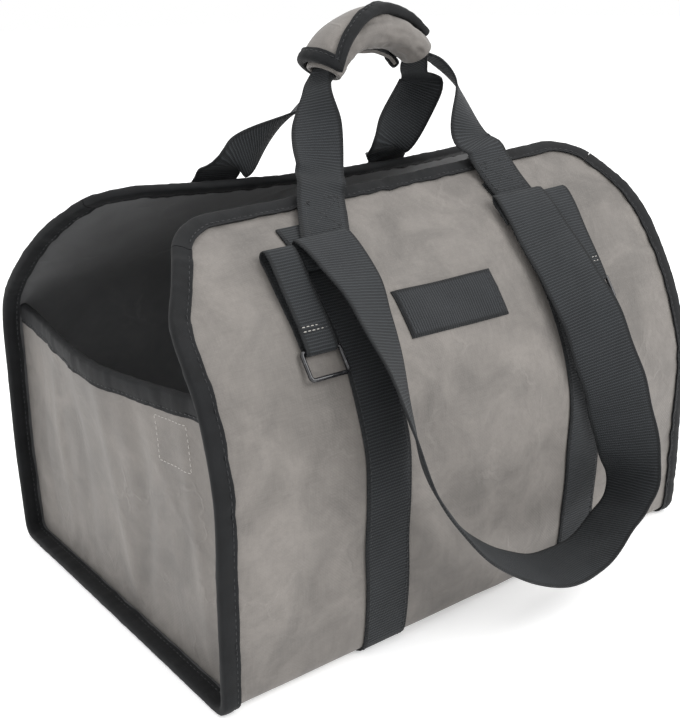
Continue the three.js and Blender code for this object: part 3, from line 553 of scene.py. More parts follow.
def binding_outline(cloth, reach, room):
    """Outline of tape folded over an edge: places inward and heights, with a pinch at its stitches."""
    inner = cloth / 2 + room
    outer = inner + TAPE
    sewn = reach - STITCH_INSET
    top = [(reach, outer + 0.1), (reach - 0.9, outer + 0.05), (sewn, outer - 0.3),
           (sewn - 1.8, outer + 0.2), (reach * 0.4, outer + 0.45), (0.5, outer + 0.25)]
    turn = np.linspace(math.pi / 2, -math.pi / 2, 9)[1:-1]
    fold = [(-(room + TAPE) * math.cos(t), (outer + 0.1) * math.sin(t)) for t in turn]
    low = [(d, -h) for d, h in top[::-1]]
    inside = [(reach, -inner), (reach * 0.5, -inner), (-room, -inner * 0.8), (-room, inner * 0.8),
              (reach * 0.5, inner), (reach, inner)]
    return np.array(top + fold + low + inside)


def binding(name, points, normal, inward, cloth, reach, room=TAPE_ROOM, seed=3):
    """Tape folded over an edge, slightly puckered by its stitches."""
    outline = binding_outline(cloth, reach, room)
    at = distances(points)
    swell = layers(waves, at, 0 * at, TAPE_SWELLS, seed)
    swell = swell * smooth(at / 8) * smooth((at[-1] - at) / 8)
    d, h = outline[:, 0], outline[:, 1]
    outside = np.abs(h) > cloth / 2 + room + 0.3
    lift = swell[:, None] * outside * np.sign(h)
    slide = layers(waves, at, 0 * at, TAPE_SLIDE, seed)[:, None] * (d > reach * 0.6)
    rings = points[:, None] + inward[:, None] * (d + slide)[..., None]
    rings = rings + normal[:, None] * (h + lift)[..., None]
    places = np.broadcast_to(distances(outline), (len(at), len(d)))
    cloth_places = np.stack([np.broadcast_to(at[:, None], places.shape), places], -1)
    fade = np.broadcast_to(np.clip(reach - d, 0, None), places.shape)
    return loft(name, rings, cloth_places, fade, ("tape",), crease=60)


def edge_frames(points, towards, normals, closed=False):
    """Adds to edge points the way into the cloth, its normal and the direction along the edge."""
    if closed:
        along = unit(np.roll(points, -1, 0) - np.roll(points, 1, 0))
    else:
        along = unit(np.gradient(points, axis=0))
    inward = towards - points
    inward = unit(inward - along * (inward * along).sum(1, keepdims=True))
    square = unit(np.cross(along, inward))
    square = square * np.sign((square * normals).sum(1, keepdims=True))
    return square, inward, along


# Margins of seams and sewn boxes on webbing, and how far below the flap's top a handle's box starts
BAND_MARGIN, BOX_MARGIN, HEM_MARGIN, BOX_TOP = 3, 4, 3, 14
# A stitch from end to end: share of its length, share of the thread's radius and lift in radii
STITCH_PROFILE = [
    (-0.5, 0.45, -0.55), (-0.3, 0.95, 0.15), (0.0, 1.05, 0.4), (0.3, 0.95, 0.15), (0.5, 0.45, -0.55),
]
STITCH_SINK = 0.1


def stitches(name, lines, colour="thread_dark", length=3.2, between=1.5):
    """Thread stitches along lines that are each given by points and normals."""
    radius = bpy.context.scene.carrier_cloth.thread_radius / MM
    shares, sizes, lifts = np.array(STITCH_PROFILE).T
    rows, sides = len(shares), 6
    turn = np.arange(sides) * 2 * math.pi / sides
    points, quads, caps, cloth = [], [], [], []
    total = 0
    for line, normals in lines:
        at = distances(line)
        count = int((at[-1] + between) / (length + between))
        if count < 1:
            continue
        pitch = at[-1] / count
        middle = (np.arange(count) + 0.5) * pitch
        place = read_columns(middle, at, line)
        up = unit(read_columns(middle, at, normals))
        along = unit(read_columns(middle + 0.6, at, line) - read_columns(middle - 0.6, at, line))
        side = unit(np.cross(up, along))
        spread = (pitch - between) * shares
        centre = place[:, None] + along[:, None] * spread[None, :, None]
        centre = centre + up[:, None] * ((lifts - STITCH_SINK) * radius)[None, :, None]
        cosine, sine = np.cos(turn)[None, None, :, None], np.sin(turn)[None, None, :, None]
        around = side[:, None, None] * cosine + up[:, None, None] * sine
        ring = centre[:, :, None] + radius * sizes[None, :, None, None] * around
        points.append(ring.reshape(-1, 3))
        offsets = total + np.arange(count) * rows * sides
        one = grid_quads(rows, sides, wrap_columns=True)
        quads.append((one[None] + offsets[:, None, None]).reshape(-1, 4))
        for offset in offsets:
            caps.append(list(range(offset + sides - 1, offset - 1, -1)))
            caps.append(list(range(offset + (rows - 1) * sides, offset + rows * sides)))
        total += count * rows * sides
        places = np.zeros((count, rows, sides, 2))
        places[..., 0] = (middle[:, None] + spread[None])[..., None]
        places[..., 1] = turn * radius
        cloth.append(places.reshape(-1, 2))
    points = np.concatenate(points)
    made = make_piece(name, points, np.concatenate(quads), np.concatenate(cloth), np.full(len(points), 1.0),
                      (colour,), caps=caps, crease=80)
    return made


# Shader building
class Shader:
    """Adds nodes to a tree and joins their sockets."""

    def __init__(self, tree):
        self.tree = tree
        self.tree.nodes.clear()

    def put(self, value, socket):
        """Links a value that comes from a socket, or sets it."""
        if isinstance(value, bpy.types.NodeSocket):
            self.tree.links.new(value, socket)
        else:
            socket.default_value = value

    def add(self, kind, inputs=(), **settings):
        """A new node with its inputs put and its settings set."""
        node = self.tree.nodes.new(kind)
        for name, value in settings.items():
            setattr(node, name, value)
        for key, value in dict(inputs).items():
            self.put(value, node.inputs[key])
        return node

    def math(self, operation, a, b=0.0, clamp=False):
        """The result of a sum on two values."""
        return self.add("ShaderNodeMath", {0: a, 1: b}, operation=operation, use_clamp=clamp).outputs[0]

    def times(self, a, b):
        return self.math("MULTIPLY", a, b)

    def plus(self, a, b):
        return self.math("ADD", a, b)

    def vector(self, operation, a, b):
        """The result of a sum on two vectors."""
        return self.add("ShaderNodeVectorMath", {0: a, 1: b}, operation=operation).outputs[0]

    def spread(self, value, low, high, to_low=0.0, to_high=1.0, smoothly=True):
        """A value's range from low to high, spread over another range."""
        inputs = {"Value": value, "From Min": low, "From Max": high, "To Min": to_low, "To Max": to_high}
        kind = "SMOOTHSTEP" if smoothly else "LINEAR"
        return self.add("ShaderNodeMapRange", inputs, interpolation_type=kind).outputs[0]

    def mix(self, share, a, b):
        """The colour a share of the way from a to b."""
        node = self.add("ShaderNodeMix", data_type="RGBA", blend_type="MIX", clamp_factor=True)
        self.put(share, node.inputs[0])
        for key, value in ((6, a), (7, b)):
            given = isinstance(value, bpy.types.NodeSocket)
            self.put(value if given else (*tuple(value)[:3], 1.0), node.inputs[key])
        return node.outputs[2]

    def over(self, colour, mask, strength, tint):
        """The colour with a tint laid over it where the mask says."""
        return self.mix(self.times(mask, strength), colour, tint)

    def noise(self, vector, scale, detail=3.0, roughness=0.55, distortion=0.0):
        """Cloudy noise from 0 to 1."""
        inputs = {"Vector": vector, "Scale": scale, "Detail": detail,
                  "Roughness": roughness, "Distortion": distortion}
        return self.add("ShaderNodeTexNoise", inputs).outputs["Fac"]

    def stretched(self, vector, x, y, z=1.0):
        """A vector multiplied along each axis."""
        return self.vector("MULTIPLY", vector, (x, y, z))


def group_tree(name, inputs, outputs):
    """An empty shader node group with named sockets: its shader helper, what it is given and gives out."""
    tree = bpy.data.node_groups.new(name, "ShaderNodeTree")
    for label, kind, value in inputs:
        socket = tree.interface.new_socket(label, in_out="INPUT", socket_type=kind)
        if value is not None:
            socket.default_value = value
    for label, kind in outputs:
        tree.interface.new_socket(label, in_out="OUTPUT", socket_type=kind)
    shader = Shader(tree)
    given, out = shader.add("NodeGroupInput"), shader.add("NodeGroupOutput")
    return shader, given.outputs, out.inputs


VECTOR, FLOAT = "NodeSocketVector", "NodeSocketFloat"


def woven_group():
    """Plain weave with uneven threads."""
    s, given, out = group_tree(
        "woven threads", [("Cloth", VECTOR, None), ("Pitch", FLOAT, 0.0011), ("Slubs", FLOAT, 0.5)],
        [("Height", FLOAT), ("Slub", FLOAT)])
    drift = s.noise(s.stretched(given["Cloth"], 90, 90), 1.0, 2.0)
    shift = s.add("ShaderNodeCombineXYZ", {0: s.times(drift, 0.0009), 1: s.times(drift, 0.0011)})
    moved = s.vector("ADD", given["Cloth"], shift.outputs[0])
    parts = s.add("ShaderNodeSeparateXYZ", {0: moved})
    rate = s.math("DIVIDE", math.pi, given["Pitch"])
    crossing = s.times(*[s.math("SINE", s.times(parts.outputs[k], rate)) for k in (0, 1)])
    threads = [s.noise(s.stretched(moved, *rates), 1.0, 2.0) for rates in ((60, 1500), (1500, 60))]
    slub = s.times(s.plus(*threads), given["Slubs"])
    s.put(s.plus(s.times(crossing, 0.5), slub), out["Height"])
    s.put(slub, out["Slub"])
    return s.tree


def ribs_group():
    """Webbing: ribs that run across it and fine rows of yarn along it, and the rib crests as a mask for a
    painted highlight.
    """
    s, given, out = group_tree(
        "webbing ribs", [("Cloth", VECTOR, None), ("Pitch", FLOAT, 0.0021), ("Yarn", FLOAT, 0.0013)],
        [("Height", FLOAT), ("Rib", FLOAT)])

    def wave(place, turn, pitch):
        return s.math("SINE", s.times(place, s.math("DIVIDE", turn, given[pitch])))

    parts = s.add("ShaderNodeSeparateXYZ", {0: given["Cloth"]})
    drift = s.noise(s.stretched(given["Cloth"], 40, 160), 1.0, 2.0)
    along = s.plus(parts.outputs[0], s.times(drift, 0.0007))
    rib = wave(along, 2 * math.pi, "Pitch")
    yarn = wave(parts.outputs[1], 2 * math.pi, "Yarn")
    half_step = wave(along, math.pi, "Pitch")
    raised = s.times(s.times(yarn, half_step), 0.35)
    s.put(s.plus(s.times(rib, 0.5), raised), out["Height"])
    # The rib crests as a mask, which the webbing paints lighter as a painted highlight
    s.put(s.spread(rib, 0.2, 1.0), out["Rib"])
    return s.tree


def mottle_group():
    """Cloudy variation of waxed cloth, and the pale thin lines where it was creased."""
    s, given, out = group_tree(
        "wax mottle", [("Place", VECTOR, None), ("Scale", FLOAT, 24.0), ("Lines", FLOAT, 15.0)],
        [("Clouds", FLOAT), ("Specks", FLOAT), ("Scratches", FLOAT)])
    place, scale = given["Place"], given["Scale"]
    clouds = s.plus(s.times(s.noise(place, scale, 5.0, 0.62, 0.6), 0.62),
                    s.times(s.noise(place, s.times(scale, 0.33), 3.0, 0.5, 0.3), 0.38))
    specks = s.noise(place, s.times(scale, 9.0), 4.0, 0.7)
    warp = s.add("ShaderNodeTexNoise", {"Vector": place, "Scale": 30.0, "Detail": 3.0, "Roughness": 0.6})
    bent = s.vector("MULTIPLY", warp.outputs["Color"], (0.035, 0.035, 0.035))
    cells = {"Vector": s.vector("ADD", place, bent), "Scale": given["Lines"]}
    cells = s.add("ShaderNodeTexVoronoi", cells, feature="DISTANCE_TO_EDGE")
    line = s.spread(cells.outputs["Distance"], 0.0, 0.04, 1.0, 0.0)
    some = s.spread(s.noise(place, 19.0, 2.0), 0.5, 0.66)
    s.put(s.spread(clouds, 0.3, 0.7), out["Clouds"])
    s.put(s.spread(specks, 0.35, 0.7), out["Specks"])
    s.put(s.times(line, some), out["Scratches"])
    return s.tree


def wear_group():
    """Rubbed edges, from the distance to a piece's nearest edge."""
    s, given, out = group_tree(
        "edge wear", [("Place", VECTOR, None), ("Edge", FLOAT, 0.01), ("Reach", FLOAT, 0.004)],
        [("Mask", FLOAT)])
    near = s.math("SUBTRACT", 1.0, s.math("DIVIDE", given["Edge"], given["Reach"]), clamp=True)
    broken = s.spread(s.noise(given["Place"], 130.0, 4.0, 0.65), 0.36, 0.66)
    s.put(s.times(near, broken), out["Mask"])
    return s.tree


def dust_group():
    """Fine dust and lint that settles on what faces up."""
    s, given, out = group_tree("dust", [("Place", VECTOR, None), ("Amount", FLOAT, 0.3)], [("Mask", FLOAT)])
    up = s.add("ShaderNodeSeparateXYZ", {0: s.add("ShaderNodeNewGeometry").outputs["Normal"]}).outputs[2]
    facing = s.spread(up, -0.1, 1.0, 0.25, 1.0)
    lint = s.spread(s.noise(given["Place"], 420.0, 3.0, 0.7), 0.56, 0.72)
    haze = s.spread(s.noise(given["Place"], 26.0, 3.0, 0.6), 0.35, 0.75)
    both = s.plus(s.times(lint, 0.6), s.times(haze, 0.4))
    s.put(s.times(s.times(both, facing), given["Amount"]), out["Mask"])
    return s.tree


GROUPS = {"woven threads": woven_group, "webbing ribs": ribs_group, "wax mottle": mottle_group,
          "edge wear": wear_group, "dust": dust_group}


def place_group(s, name, **values):
    """Places a shared effect in a material, with its own values and the coordinates that it reads."""
    node = s.add("ShaderNodeGroup")
    node.node_tree = bpy.data.node_groups.get(name) or GROUPS[name]()
    read = {"Place": s.place, "Cloth": s.cloth, "Edge": s.edge, **values}
    for key in node.inputs.keys():
        s.put(read[key], node.inputs[key])
    return node.outputs


def begin(name):
    """A new material and its shader helper, which carries the coordinates that all finishes read."""
    made = bpy.data.materials.new(name)
    made.use_nodes = True
    s = Shader(made.node_tree)
    s.place = s.add("ShaderNodeTexCoord").outputs["Object"]
    s.cloth = s.add("ShaderNodeUVMap", uv_map="cloth").outputs["UV"]
    s.edge = s.add("ShaderNodeAttribute", attribute_name="edge").outputs["Fac"]
    return made, s


def end(s, colour, roughness, bumps, sheen=0.0, metallic=0.0, specular=0.5, coat=0.0):
    """Closes a material with bumps of (height, distance, strength) and its surface shader."""
    inputs = {"Base Color": colour, "Roughness": roughness, "Metallic": metallic, "Coat Weight": coat,
              "Specular IOR Level": specular, "Sheen Weight": sheen, "Sheen Roughness": 0.5}
    below = {}
    for height, distance, strength in bumps:
        given = {"Height": height, "Distance": distance, "Strength": strength}
        below = {"Normal": s.add("ShaderNodeBump", {**given, **below}).outputs[0]}
    shader = s.add("ShaderNodeBsdfPrincipled", {**inputs, **below})
    s.put(shader.outputs[0], s.add("ShaderNodeOutputMaterial").inputs[0])


def shade(colour, factor):
    """A colour made darker or lighter."""
    return [min(1.0, c * factor) for c in tuple(colour)[:3]]


def canvas_material():
    """Waxed canvas: cloudy, creased with pale lines, worn beside its seams."""
    look = bpy.context.scene.carrier_colours
    made, s = begin("waxed canvas")
    weave = place_group(s, "woven threads", Pitch=0.0012, Slubs=0.6)
    mottle = place_group(s, "wax mottle", Scale=24.0, Lines=15.0)
    wear = place_group(s, "edge wear", Reach=0.02)
    dust = place_group(s, "dust", Amount=0.12)
    colour = s.mix(mottle["Clouds"], shade(look.canvas, 0.62), shade(look.canvas, 1.3))
    colour = s.over(colour, mottle["Specks"], 0.28, shade(look.canvas, 0.72))
    colour = s.over(colour, s.spread(weave["Slub"], 0.5, 0.75), 0.22, shade(look.canvas, 1.35))
    colour = s.over(colour, mottle["Scratches"], 0.2 * look.wear, shade(look.canvas, 1.5))
    colour = s.over(colour, wear["Mask"], 0.3 * look.wear, shade(look.canvas, 1.4))
    colour = s.mix(dust["Mask"], colour, (0.42, 0.4, 0.37))
    roughness = s.spread(mottle["Clouds"], 0.0, 1.0, 0.6, 0.78, smoothly=False)
    bumps = [(mottle["Scratches"], 0.0005, 0.7), (mottle["Clouds"], 0.0011, 0.35),
             (weave["Height"], 0.00014, 0.55)]
    end(s, colour, roughness, bumps, sheen=0.12, specular=0.35)
    return made


def lining_material():
    """Dark plain lining on the inner faces."""
    look = bpy.context.scene.carrier_colours
    made, s = begin("lining")
    weave = place_group(s, "woven threads", Pitch=0.0008, Slubs=0.4)
    mottle = place_group(s, "wax mottle", Scale=16.0, Lines=11.0)
    dust = place_group(s, "dust", Amount=0.12)
    colour = s.mix(mottle["Clouds"], shade(look.lining, 0.8), shade(look.lining, 1.2))
    colour = s.over(colour, mottle["Scratches"], 0.25, shade(look.lining, 1.8))
    colour = s.mix(dust["Mask"], colour, (0.3, 0.29, 0.27))
    bumps = [(mottle["Scratches"], 0.0005, 0.6), (weave["Height"], 0.0001, 0.5)]
    end(s, colour, 0.72, bumps, sheen=0.15, specular=0.3)
    return made


def webbing_material():
    """Ribbed webbing with dull yarn, a painted highlight on its rib crests and darker edges."""
    look = bpy.context.scene.carrier_colours
    made, s = begin("webbing")
    ribs = place_group(s, "webbing ribs", Pitch=0.0022, Yarn=0.0014)
    wear = place_group(s, "edge wear", Reach=0.0022)
    dust = place_group(s, "dust", Amount=0.08)
    rim = s.spread(s.edge, 0.0012, 0.0036, 0.0, 1.0)
    cloud = s.spread(s.noise(s.place, 34.0, 3.0), 0.3, 0.7)
    colour = s.mix(cloud, shade(look.webbing, 0.86), shade(look.webbing, 1.14))
    # Painted highlight: the rib crests are painted much lighter, where light would catch them
    colour = s.over(colour, ribs["Rib"], 0.6, shade(look.webbing, 3.4))
    colour = s.mix(rim, shade(look.webbing, 0.55), colour)
    colour = s.over(colour, wear["Mask"], 0.25 * look.wear, shade(look.webbing, 2.4))
    colour = s.over(colour, dust["Mask"], 0.5, (0.25, 0.24, 0.23))
    end(s, colour, 0.74, [(ribs["Height"], 0.0003, 1.0)], sheen=0.03, specular=0.22)
    return made


def tape_material():
    """Smooth narrow tape of the bindings, rubbed pale along its fold."""
    look = bpy.context.scene.carrier_colours
    made, s = begin("binding tape")
    weave = place_group(s, "woven threads", Pitch=0.0008, Slubs=0.5)
    wear = place_group(s, "edge wear", Reach=0.0016)
    dust = place_group(s, "dust", Amount=0.08)
    cloud = s.spread(s.noise(s.place, 60.0, 4.0, 0.6), 0.3, 0.7)
    colour = s.mix(cloud, shade(look.tape, 0.75), shade(look.tape, 1.3))
    colour = s.over(colour, wear["Mask"], 0.35 * look.wear, shade(look.tape, 3.2))
    colour = s.over(colour, dust["Mask"], 0.5, (0.22, 0.21, 0.2))
    end(s, colour, 0.74, [(cloud, 0.0004, 0.3), (weave["Height"], 0.00012, 0.7)], sheen=0.03, specular=0.22)
    return made


def thread_material(name, colour):
    """Twisted thread, with painted shade in the grooves of its twist."""
    made, s = begin(name)
    parts = s.add("ShaderNodeSeparateXYZ", {0: s.cloth})
    lay = s.plus(s.times(parts.outputs[0], 6500.0), s.times(parts.outputs[1], 5200.0))
    twist = s.math("SINE", lay)
    # Painted shade: the colour follows the twist's bumps, darker in its grooves and lighter on its plies
    tint = s.mix(s.spread(twist, -1.0, 1.0), shade(colour, 0.7), shade(colour, 1.15))
    end(s, tint, 0.55, [(twist, 0.00008, 0.6)], sheen=0.1, specular=0.4)
    return made


def wire_material():
    """Black enamelled wire with rubbed high spots."""
    look = bpy.context.scene.carrier_colours
    made, s = begin("black wire")
    rubbed = s.spread(s.noise(s.place, 300.0, 4.0, 0.7), 0.58, 0.72)
    colour = s.over(look.wire, rubbed, 0.35 * look.wear, (0.2, 0.2, 0.21))
    roughness = s.spread(s.noise(s.place, 90.0, 3.0), 0.3, 0.7, 0.2, 0.34, smoothly=False)
    bumps = [(s.noise(s.place, 500.0, 2.0), 0.00004, 0.3)]
    end(s, colour, roughness, bumps, metallic=0.35, specular=0.6, coat=0.4)
    return made


def floor_material():
    """Plain white studio floor, bright enough to meet the white surroundings without an edge."""
    made, s = begin("studio floor")
    glow = {"Base Color": (0.9, 0.9, 0.9, 1.0), "Roughness": 1.0, "Specular IOR Level": 0.0,
            "Emission Color": (1.0, 1.0, 1.0, 1.0), "Emission Strength": 0.35}
    shader = s.add("ShaderNodeBsdfPrincipled", glow)
    s.put(shader.outputs[0], s.add("ShaderNodeOutputMaterial").inputs[0])
    return made


def material(name):
    """The material of that name, built when it is first asked for."""
    look = bpy.context.scene.carrier_colours
    makers = {
        "canvas": canvas_material, "lining": lining_material, "webbing": webbing_material,
        "tape": tape_material, "wire": wire_material, "floor": floor_material,
        "thread_dark": lambda: thread_material("dark thread", look.dark_thread),
        "thread_pale": lambda: thread_material("pale thread", look.pale_thread),
    }
    key = "carrier_" + name
    if key not in bpy.data.materials:
        made = makers[name]()
        made.name = key
    return bpy.data.materials[key]


# Pieces

# Distance from one station of a band to the next
BAND_STEP = 3.4
# Rows and columns of the body's canvas, the columns of its rounded corners apart
BODY_ROWS, BODY_COLUMNS, CORNER_COLUMNS = 331, 106, 12
# The same of an end panel, with the levels of the rows beside its lower seam
END_ROWS, END_COLUMNS, END_LEVELS = 66, 96, [0, 0.012]


def panel_columns():
    """Shares of the half length at the sheet's columns, closer in the rounded corners."""
    turn = np.linspace(0, math.pi / 2, CORNER_COLUMNS)[:-1]
    corner = ROUND_START + (1 - ROUND_START) * np.cos(turn)
    middle = np.linspace(ROUND_START, -ROUND_START, BODY_COLUMNS)
    return np.concatenate([corner, middle, -corner[::-1]])[::-1]


def build_main_panel():
    """The canvas of front, base and back in one sheet, with its flaps and its lining."""
    u, d = np.meshgrid(panel_columns(), np.linspace(0, SECTION_LENGTH, BODY_ROWS))
    d = row_distance(u, d)
    outer, normal, _, _ = on_sheet(u, d, CANVAS / 2)
    half = half_length(d)
    cloth = np.stack([u * half, d], -1)
    edge = np.minimum(half * (1 - np.abs(u)), to_end(d))
    made = closed_sheet("canvas_body", outer, outer - normal * CANVAS, cloth, edge, ("canvas", "lining"))
    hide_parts("main_panel")


def build_end_panel(name, side):
    """The canvas and lining of one end."""
    levels = np.concatenate([END_LEVELS, np.linspace(0.03, 1, END_ROWS)])
    share, level = np.meshgrid(np.linspace(0, 1, END_COLUMNS), levels)
    outer, normal = on_end(side, share, level, SEAM, CANVAS / 2)
    cloth = np.stack([share * END_ACROSS + 700 * side, level * END_TALL], -1)
    edge = end_to_edge(share, level, 1)
    made = closed_sheet(name + "_canvas", outer, outer - normal * CANVAS, cloth, edge, ("canvas", "lining"))
    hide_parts(name)


def inside_edge(u, distance):
    """Points of the sheet a tape's reach in from its edge."""
    half = half_length(distance)
    across = np.maximum(0, np.abs(u) - ROUND_START) * half
    rest = np.maximum(0, FLAP_ROUND - to_end(distance))
    length = np.maximum(np.hypot(across, rest), 1e-9)
    at_side = np.abs(u) > 0.999
    in_u = np.where(at_side, SEAM_REACH, SEAM_REACH * across / length)
    in_d = np.where(at_side, 0, SEAM_REACH * rest / length)
    sign = np.where(distance < SECTION_LENGTH / 2, 1, -1)
    return on_sheet(u - np.sign(u) * in_u / half, distance + sign * in_d)[0]


def edge_runs():
    """The sheet's edge in four runs, each with its shares and distances."""
    columns = panel_columns()
    rows = np.linspace(0, SECTION_LENGTH, BODY_ROWS)
    side = row_distance(np.ones_like(rows), rows)
    top = top_distance(columns)
    return [
        ("front_flap_binding", columns, top),
        ("right_side_binding", np.ones_like(side), side),
        ("back_flap_binding", columns[::-1], SECTION_LENGTH - top[::-1]),
        ("left_side_binding", -np.ones_like(side), side[::-1]),
    ]


def seam_lines(points, normal, inward, cloth, reach, room=TAPE_ROOM):
    """Lines of stitches on both faces of a binding."""
    inset = reach - STITCH_INSET
    high = cloth / 2 + room + TAPE - 0.25
    return [(points + inward * inset + normal * high * face, normal * face) for face in (1, -1)]


def build_edge_bindings():
    """Tape over the body's whole edge in four runs, over both end panels' tops, and its stitches."""
    runs = edge_runs()
    u = np.concatenate([r[1][:-1] for r in runs])
    d = np.concatenate([r[2][:-1] for r in runs])
    points, normals, _, _ = on_sheet(u, d)
    square, inward, along = edge_frames(points, inside_edge(u, d), normals, closed=True)
    start, seams = 0, []
    for seed, (name, shares, _) in enumerate(runs):
        index = np.arange(start, start + len(shares)) % len(u)
        start += len(shares) - 1
        p = points[index].copy()
        p[0] += along[index[0]] * GAP
        p[-1] -= along[index[-1]] * GAP
        out, into = square[index], inward[index]
        made = binding(name + "_tape", p, out, into, CANVAS, SEAM_REACH, seed=SEEDS["edge"] + 5 * seed)
        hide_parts(name)
        seams += seam_lines(p[2:-2], out[2:-2], into[2:-2], CANVAS, SEAM_REACH)
    for seed, (name, side) in enumerate((("left_end_binding", -1), ("right_end_binding", 1))):
        share = np.linspace(0, 1, 92)
        p, normal = on_end(side, share, np.ones_like(share), 2 * SEAM)
        towards = on_end(side, share, np.full_like(share, 1 - END_REACH / END_HEIGHT), 2 * SEAM)[0]
        square, inward, _ = edge_frames(p, towards, normal)
        made = binding(name + "_tape", p, square, inward, CANVAS, END_REACH, seed=SEEDS["end"] + 5 * seed)
        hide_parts(name)
        seams += seam_lines(p[1:-1], square[1:-1], inward[1:-1], CANVAS, END_REACH)
    stitches("binding_stitches", seams)


def build_band(name, x):
    """Webbing down the front, under the base and up the back, with its two seams."""
    height = CANVAS / 2 + GAP + WEBBING / 2
    start, stop = BAND_TOP, SECTION_LENGTH - BAND_TOP
    d = np.linspace(start, stop, int((stop - start) / BAND_STEP))
    point, normal, across, _ = at_place(np.full_like(d, x), d, height)
    widths = np.full(len(d), BAND_WIDTH)
    made = webbing(name + "_webbing", point, across, normal, widths, WEBBING, seed=int(x) + SEEDS["band"])
    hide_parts(name)
    inset = BAND_WIDTH / 2 - BAND_MARGIN
    seams = (x - inset, x + inset)
    lines = [at_place(np.full_like(d, place), d, height + WEBBING / 2)[:2] for place in seams]
    stitches(name + "_stitches", lines)


GRIP_RADIUS = GRIP_LENGTH / math.radians(GRIP_ARC)
GRIP_LEAN = math.radians(GRIP_TILT)
GRIP_UP = np.array([-math.sin(GRIP_LEAN), 0, math.cos(GRIP_LEAN)])
GRIP_CENTRE = np.array([GRIP_OFFSET, 0, GRIP_LIFT]) - GRIP_RADIUS * GRIP_UP


def grip_frame(along):
    """Middle, direction and up direction of the grip's arc, which runs on straight beyond its ends."""
    along = np.asarray(along, float)
    held = np.clip(along, -GRIP_LENGTH / 2, GRIP_LENGTH / 2)
    angle = GRIP_LEAN - held / GRIP_RADIUS
    axis = np.stack([np.cos(angle), 0 * angle, np.sin(angle)], -1)
    up = np.stack([-np.sin(angle), 0 * angle, np.cos(angle)], -1)
    return GRIP_CENTRE + GRIP_RADIUS * up + axis * (along - held)[..., None], axis, up


def in_grip(along, y, up):
    """A point given along the grip, across it and up."""
    middle, _, upward = grip_frame(along)
    return middle + upward * up + np.array([0, y, 0])


def handle_root(side, sign, distance):
    """Place along the bag and height above it of a handle's root at a distance below the flap's top."""
    up = 1 - distance / HANDLE_ROOT
    lean = HANDLE_LEAN * up if sign == side else 0 * up
    return sign * (BAND_SPREAD - lean), HANDLE_LAYER + HANDLE_RISE * np.clip(up, 0, 1) ** 4


def build_handle(name, side):
    """Webbing up from one flap, through the grip and down again, with its sewn boxes."""
    lift = 1 if side == FRONT else -1
    stack = lift * (WEBBING + GAP) / 2
    bend = WEBBING + 2 * GAP + HANDLE_PART if side == FRONT else 0
    rows = []

    def surface(sign, distance):
        place, height = handle_root(side, sign, distance)
        point, _, across, _ = at_place(place, from_top(side, distance), height)
        rows.append((point, across * -sign, BAND_WIDTH))

    def free(sign, past, swing, wide, part):
        along = sign * (GRIP_LENGTH / 2 + past * (HANDLE_TURN + bend))
        point = in_grip(along, side * swing * HANDLE_SWING, stack + lift * HANDLE_PART * part)
        across = unit([-sign * wide, side * lerp(1, 1.2, wide), 0])
        rows.append((point, across, lerp(GRIP_FOLD, BAND_WIDTH, wide)))

    sewn = [-HANDLE_LEAVE, *np.linspace(0, HANDLE_ROOT, 10)]
    for distance in sewn[::-1]:
        surface(-1, distance)
    for row in HANDLE_RUN[::-1]:
        free(-1, *row)
    held = GRIP_LENGTH / 2 - GRIP_HOLD
    for along in np.linspace(-held, held, 6):
        rows.append((in_grip(along, 0, stack), np.array([0, side, 0.0]), GRIP_FOLD))
    for row in HANDLE_RUN:
        free(1, *row)
    for distance in sewn:
        surface(1, distance)
    points, across, normal, widths = run_through(rows, step=2.6, settle=6)
    made = webbing(name + "_webbing", points, across, normal, widths, WEBBING, seed=SEEDS["handle"] + side)
    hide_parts(name)
    lines = []
    for sign in (-1, 1):
        def root(down):
            return handle_root(side, sign, down)

        stop, width = STRAP_FOLD - 2 * BOX_MARGIN, BAND_WIDTH - 2 * BOX_MARGIN
        lines += box_stitches(side, root, BOX_TOP, stop, width)
    stitches(name + "_stitches", lines)


def box_stitches(side, root, start, stop, width, cross=True):
    """Lines of a sewn box on webbing, whose place and height root gives so far below the flap's top."""
    corners = [(-1, start), (1, start), (1, stop), (-1, stop)]
    pairs = [(0, 1), (1, 2), (2, 3), (3, 0)] + ([(0, 2), (1, 3)] if cross else [])
    lines = []
    for a, b in pairs:
        share = np.linspace(0, 1, 16)
        down = lerp(corners[a][1], corners[b][1], share)
        place, height = root(down)
        across = width / 2 * lerp(corners[a][0], corners[b][0], share)
        lines.append(at_place(place + across, from_top(side, down), height + WEBBING / 2)[:2])
    return lines


def grip_point(along, angle, grow, swell=1.0):
    """Point and normal on the grip's oval, angles in degrees from its top."""
    turn = np.radians(angle)
    middle, _, upward = grip_frame((along - 0.5) * GRIP_LENGTH)
    sideways = np.array([0, 1.0, 0])
    normal = (-np.sin(turn) / GRIP_DEPTH)[..., None] * sideways
    normal = unit(normal + (np.cos(turn) / GRIP_HEIGHT)[..., None] * upward)
    y = -np.sin(turn) * (GRIP_DEPTH / 2) * swell
    up = np.cos(turn) * (GRIP_HEIGHT / 2) * swell
    point = middle + upward * np.asarray(up)[..., None] + sideways * np.asarray(y)[..., None]
    return point + normal * np.asarray(grow)[..., None], normal


# Wrap of the grip: share along and size of its crown, and the puffs' height, size and seed
GRIP_CROWN = [(0, 0.96), (0.12, 0.99), (0.35, 1.0), (0.65, 1.0), (0.88, 0.99), (1, 0.96)]
GRIP_PUFFS = [(0.5, 26, 401), (0.35, 12, 402)]
GRIP_ANGLES = np.arange(0, 360, 5)
WRAP_ROWS, FLAP_COLUMNS, FLAP_ROWS = 64, 60, 76
# Lip and inner face of the wrap against its oval, and how far the lip stands out at its ends
GRIP_LIP, GRIP_INNER, LIP_OUT = 0.955, 0.96, 0.8
# The flap's own puffs and the length of its cloth round the grip
GRIP_FLAP_PUFFS = [(0.4, 30, 411)]
GRIP_ROUND = 90
# A distance from any edge at which cloth shows no wear
FAR_FROM_EDGE = 20.0


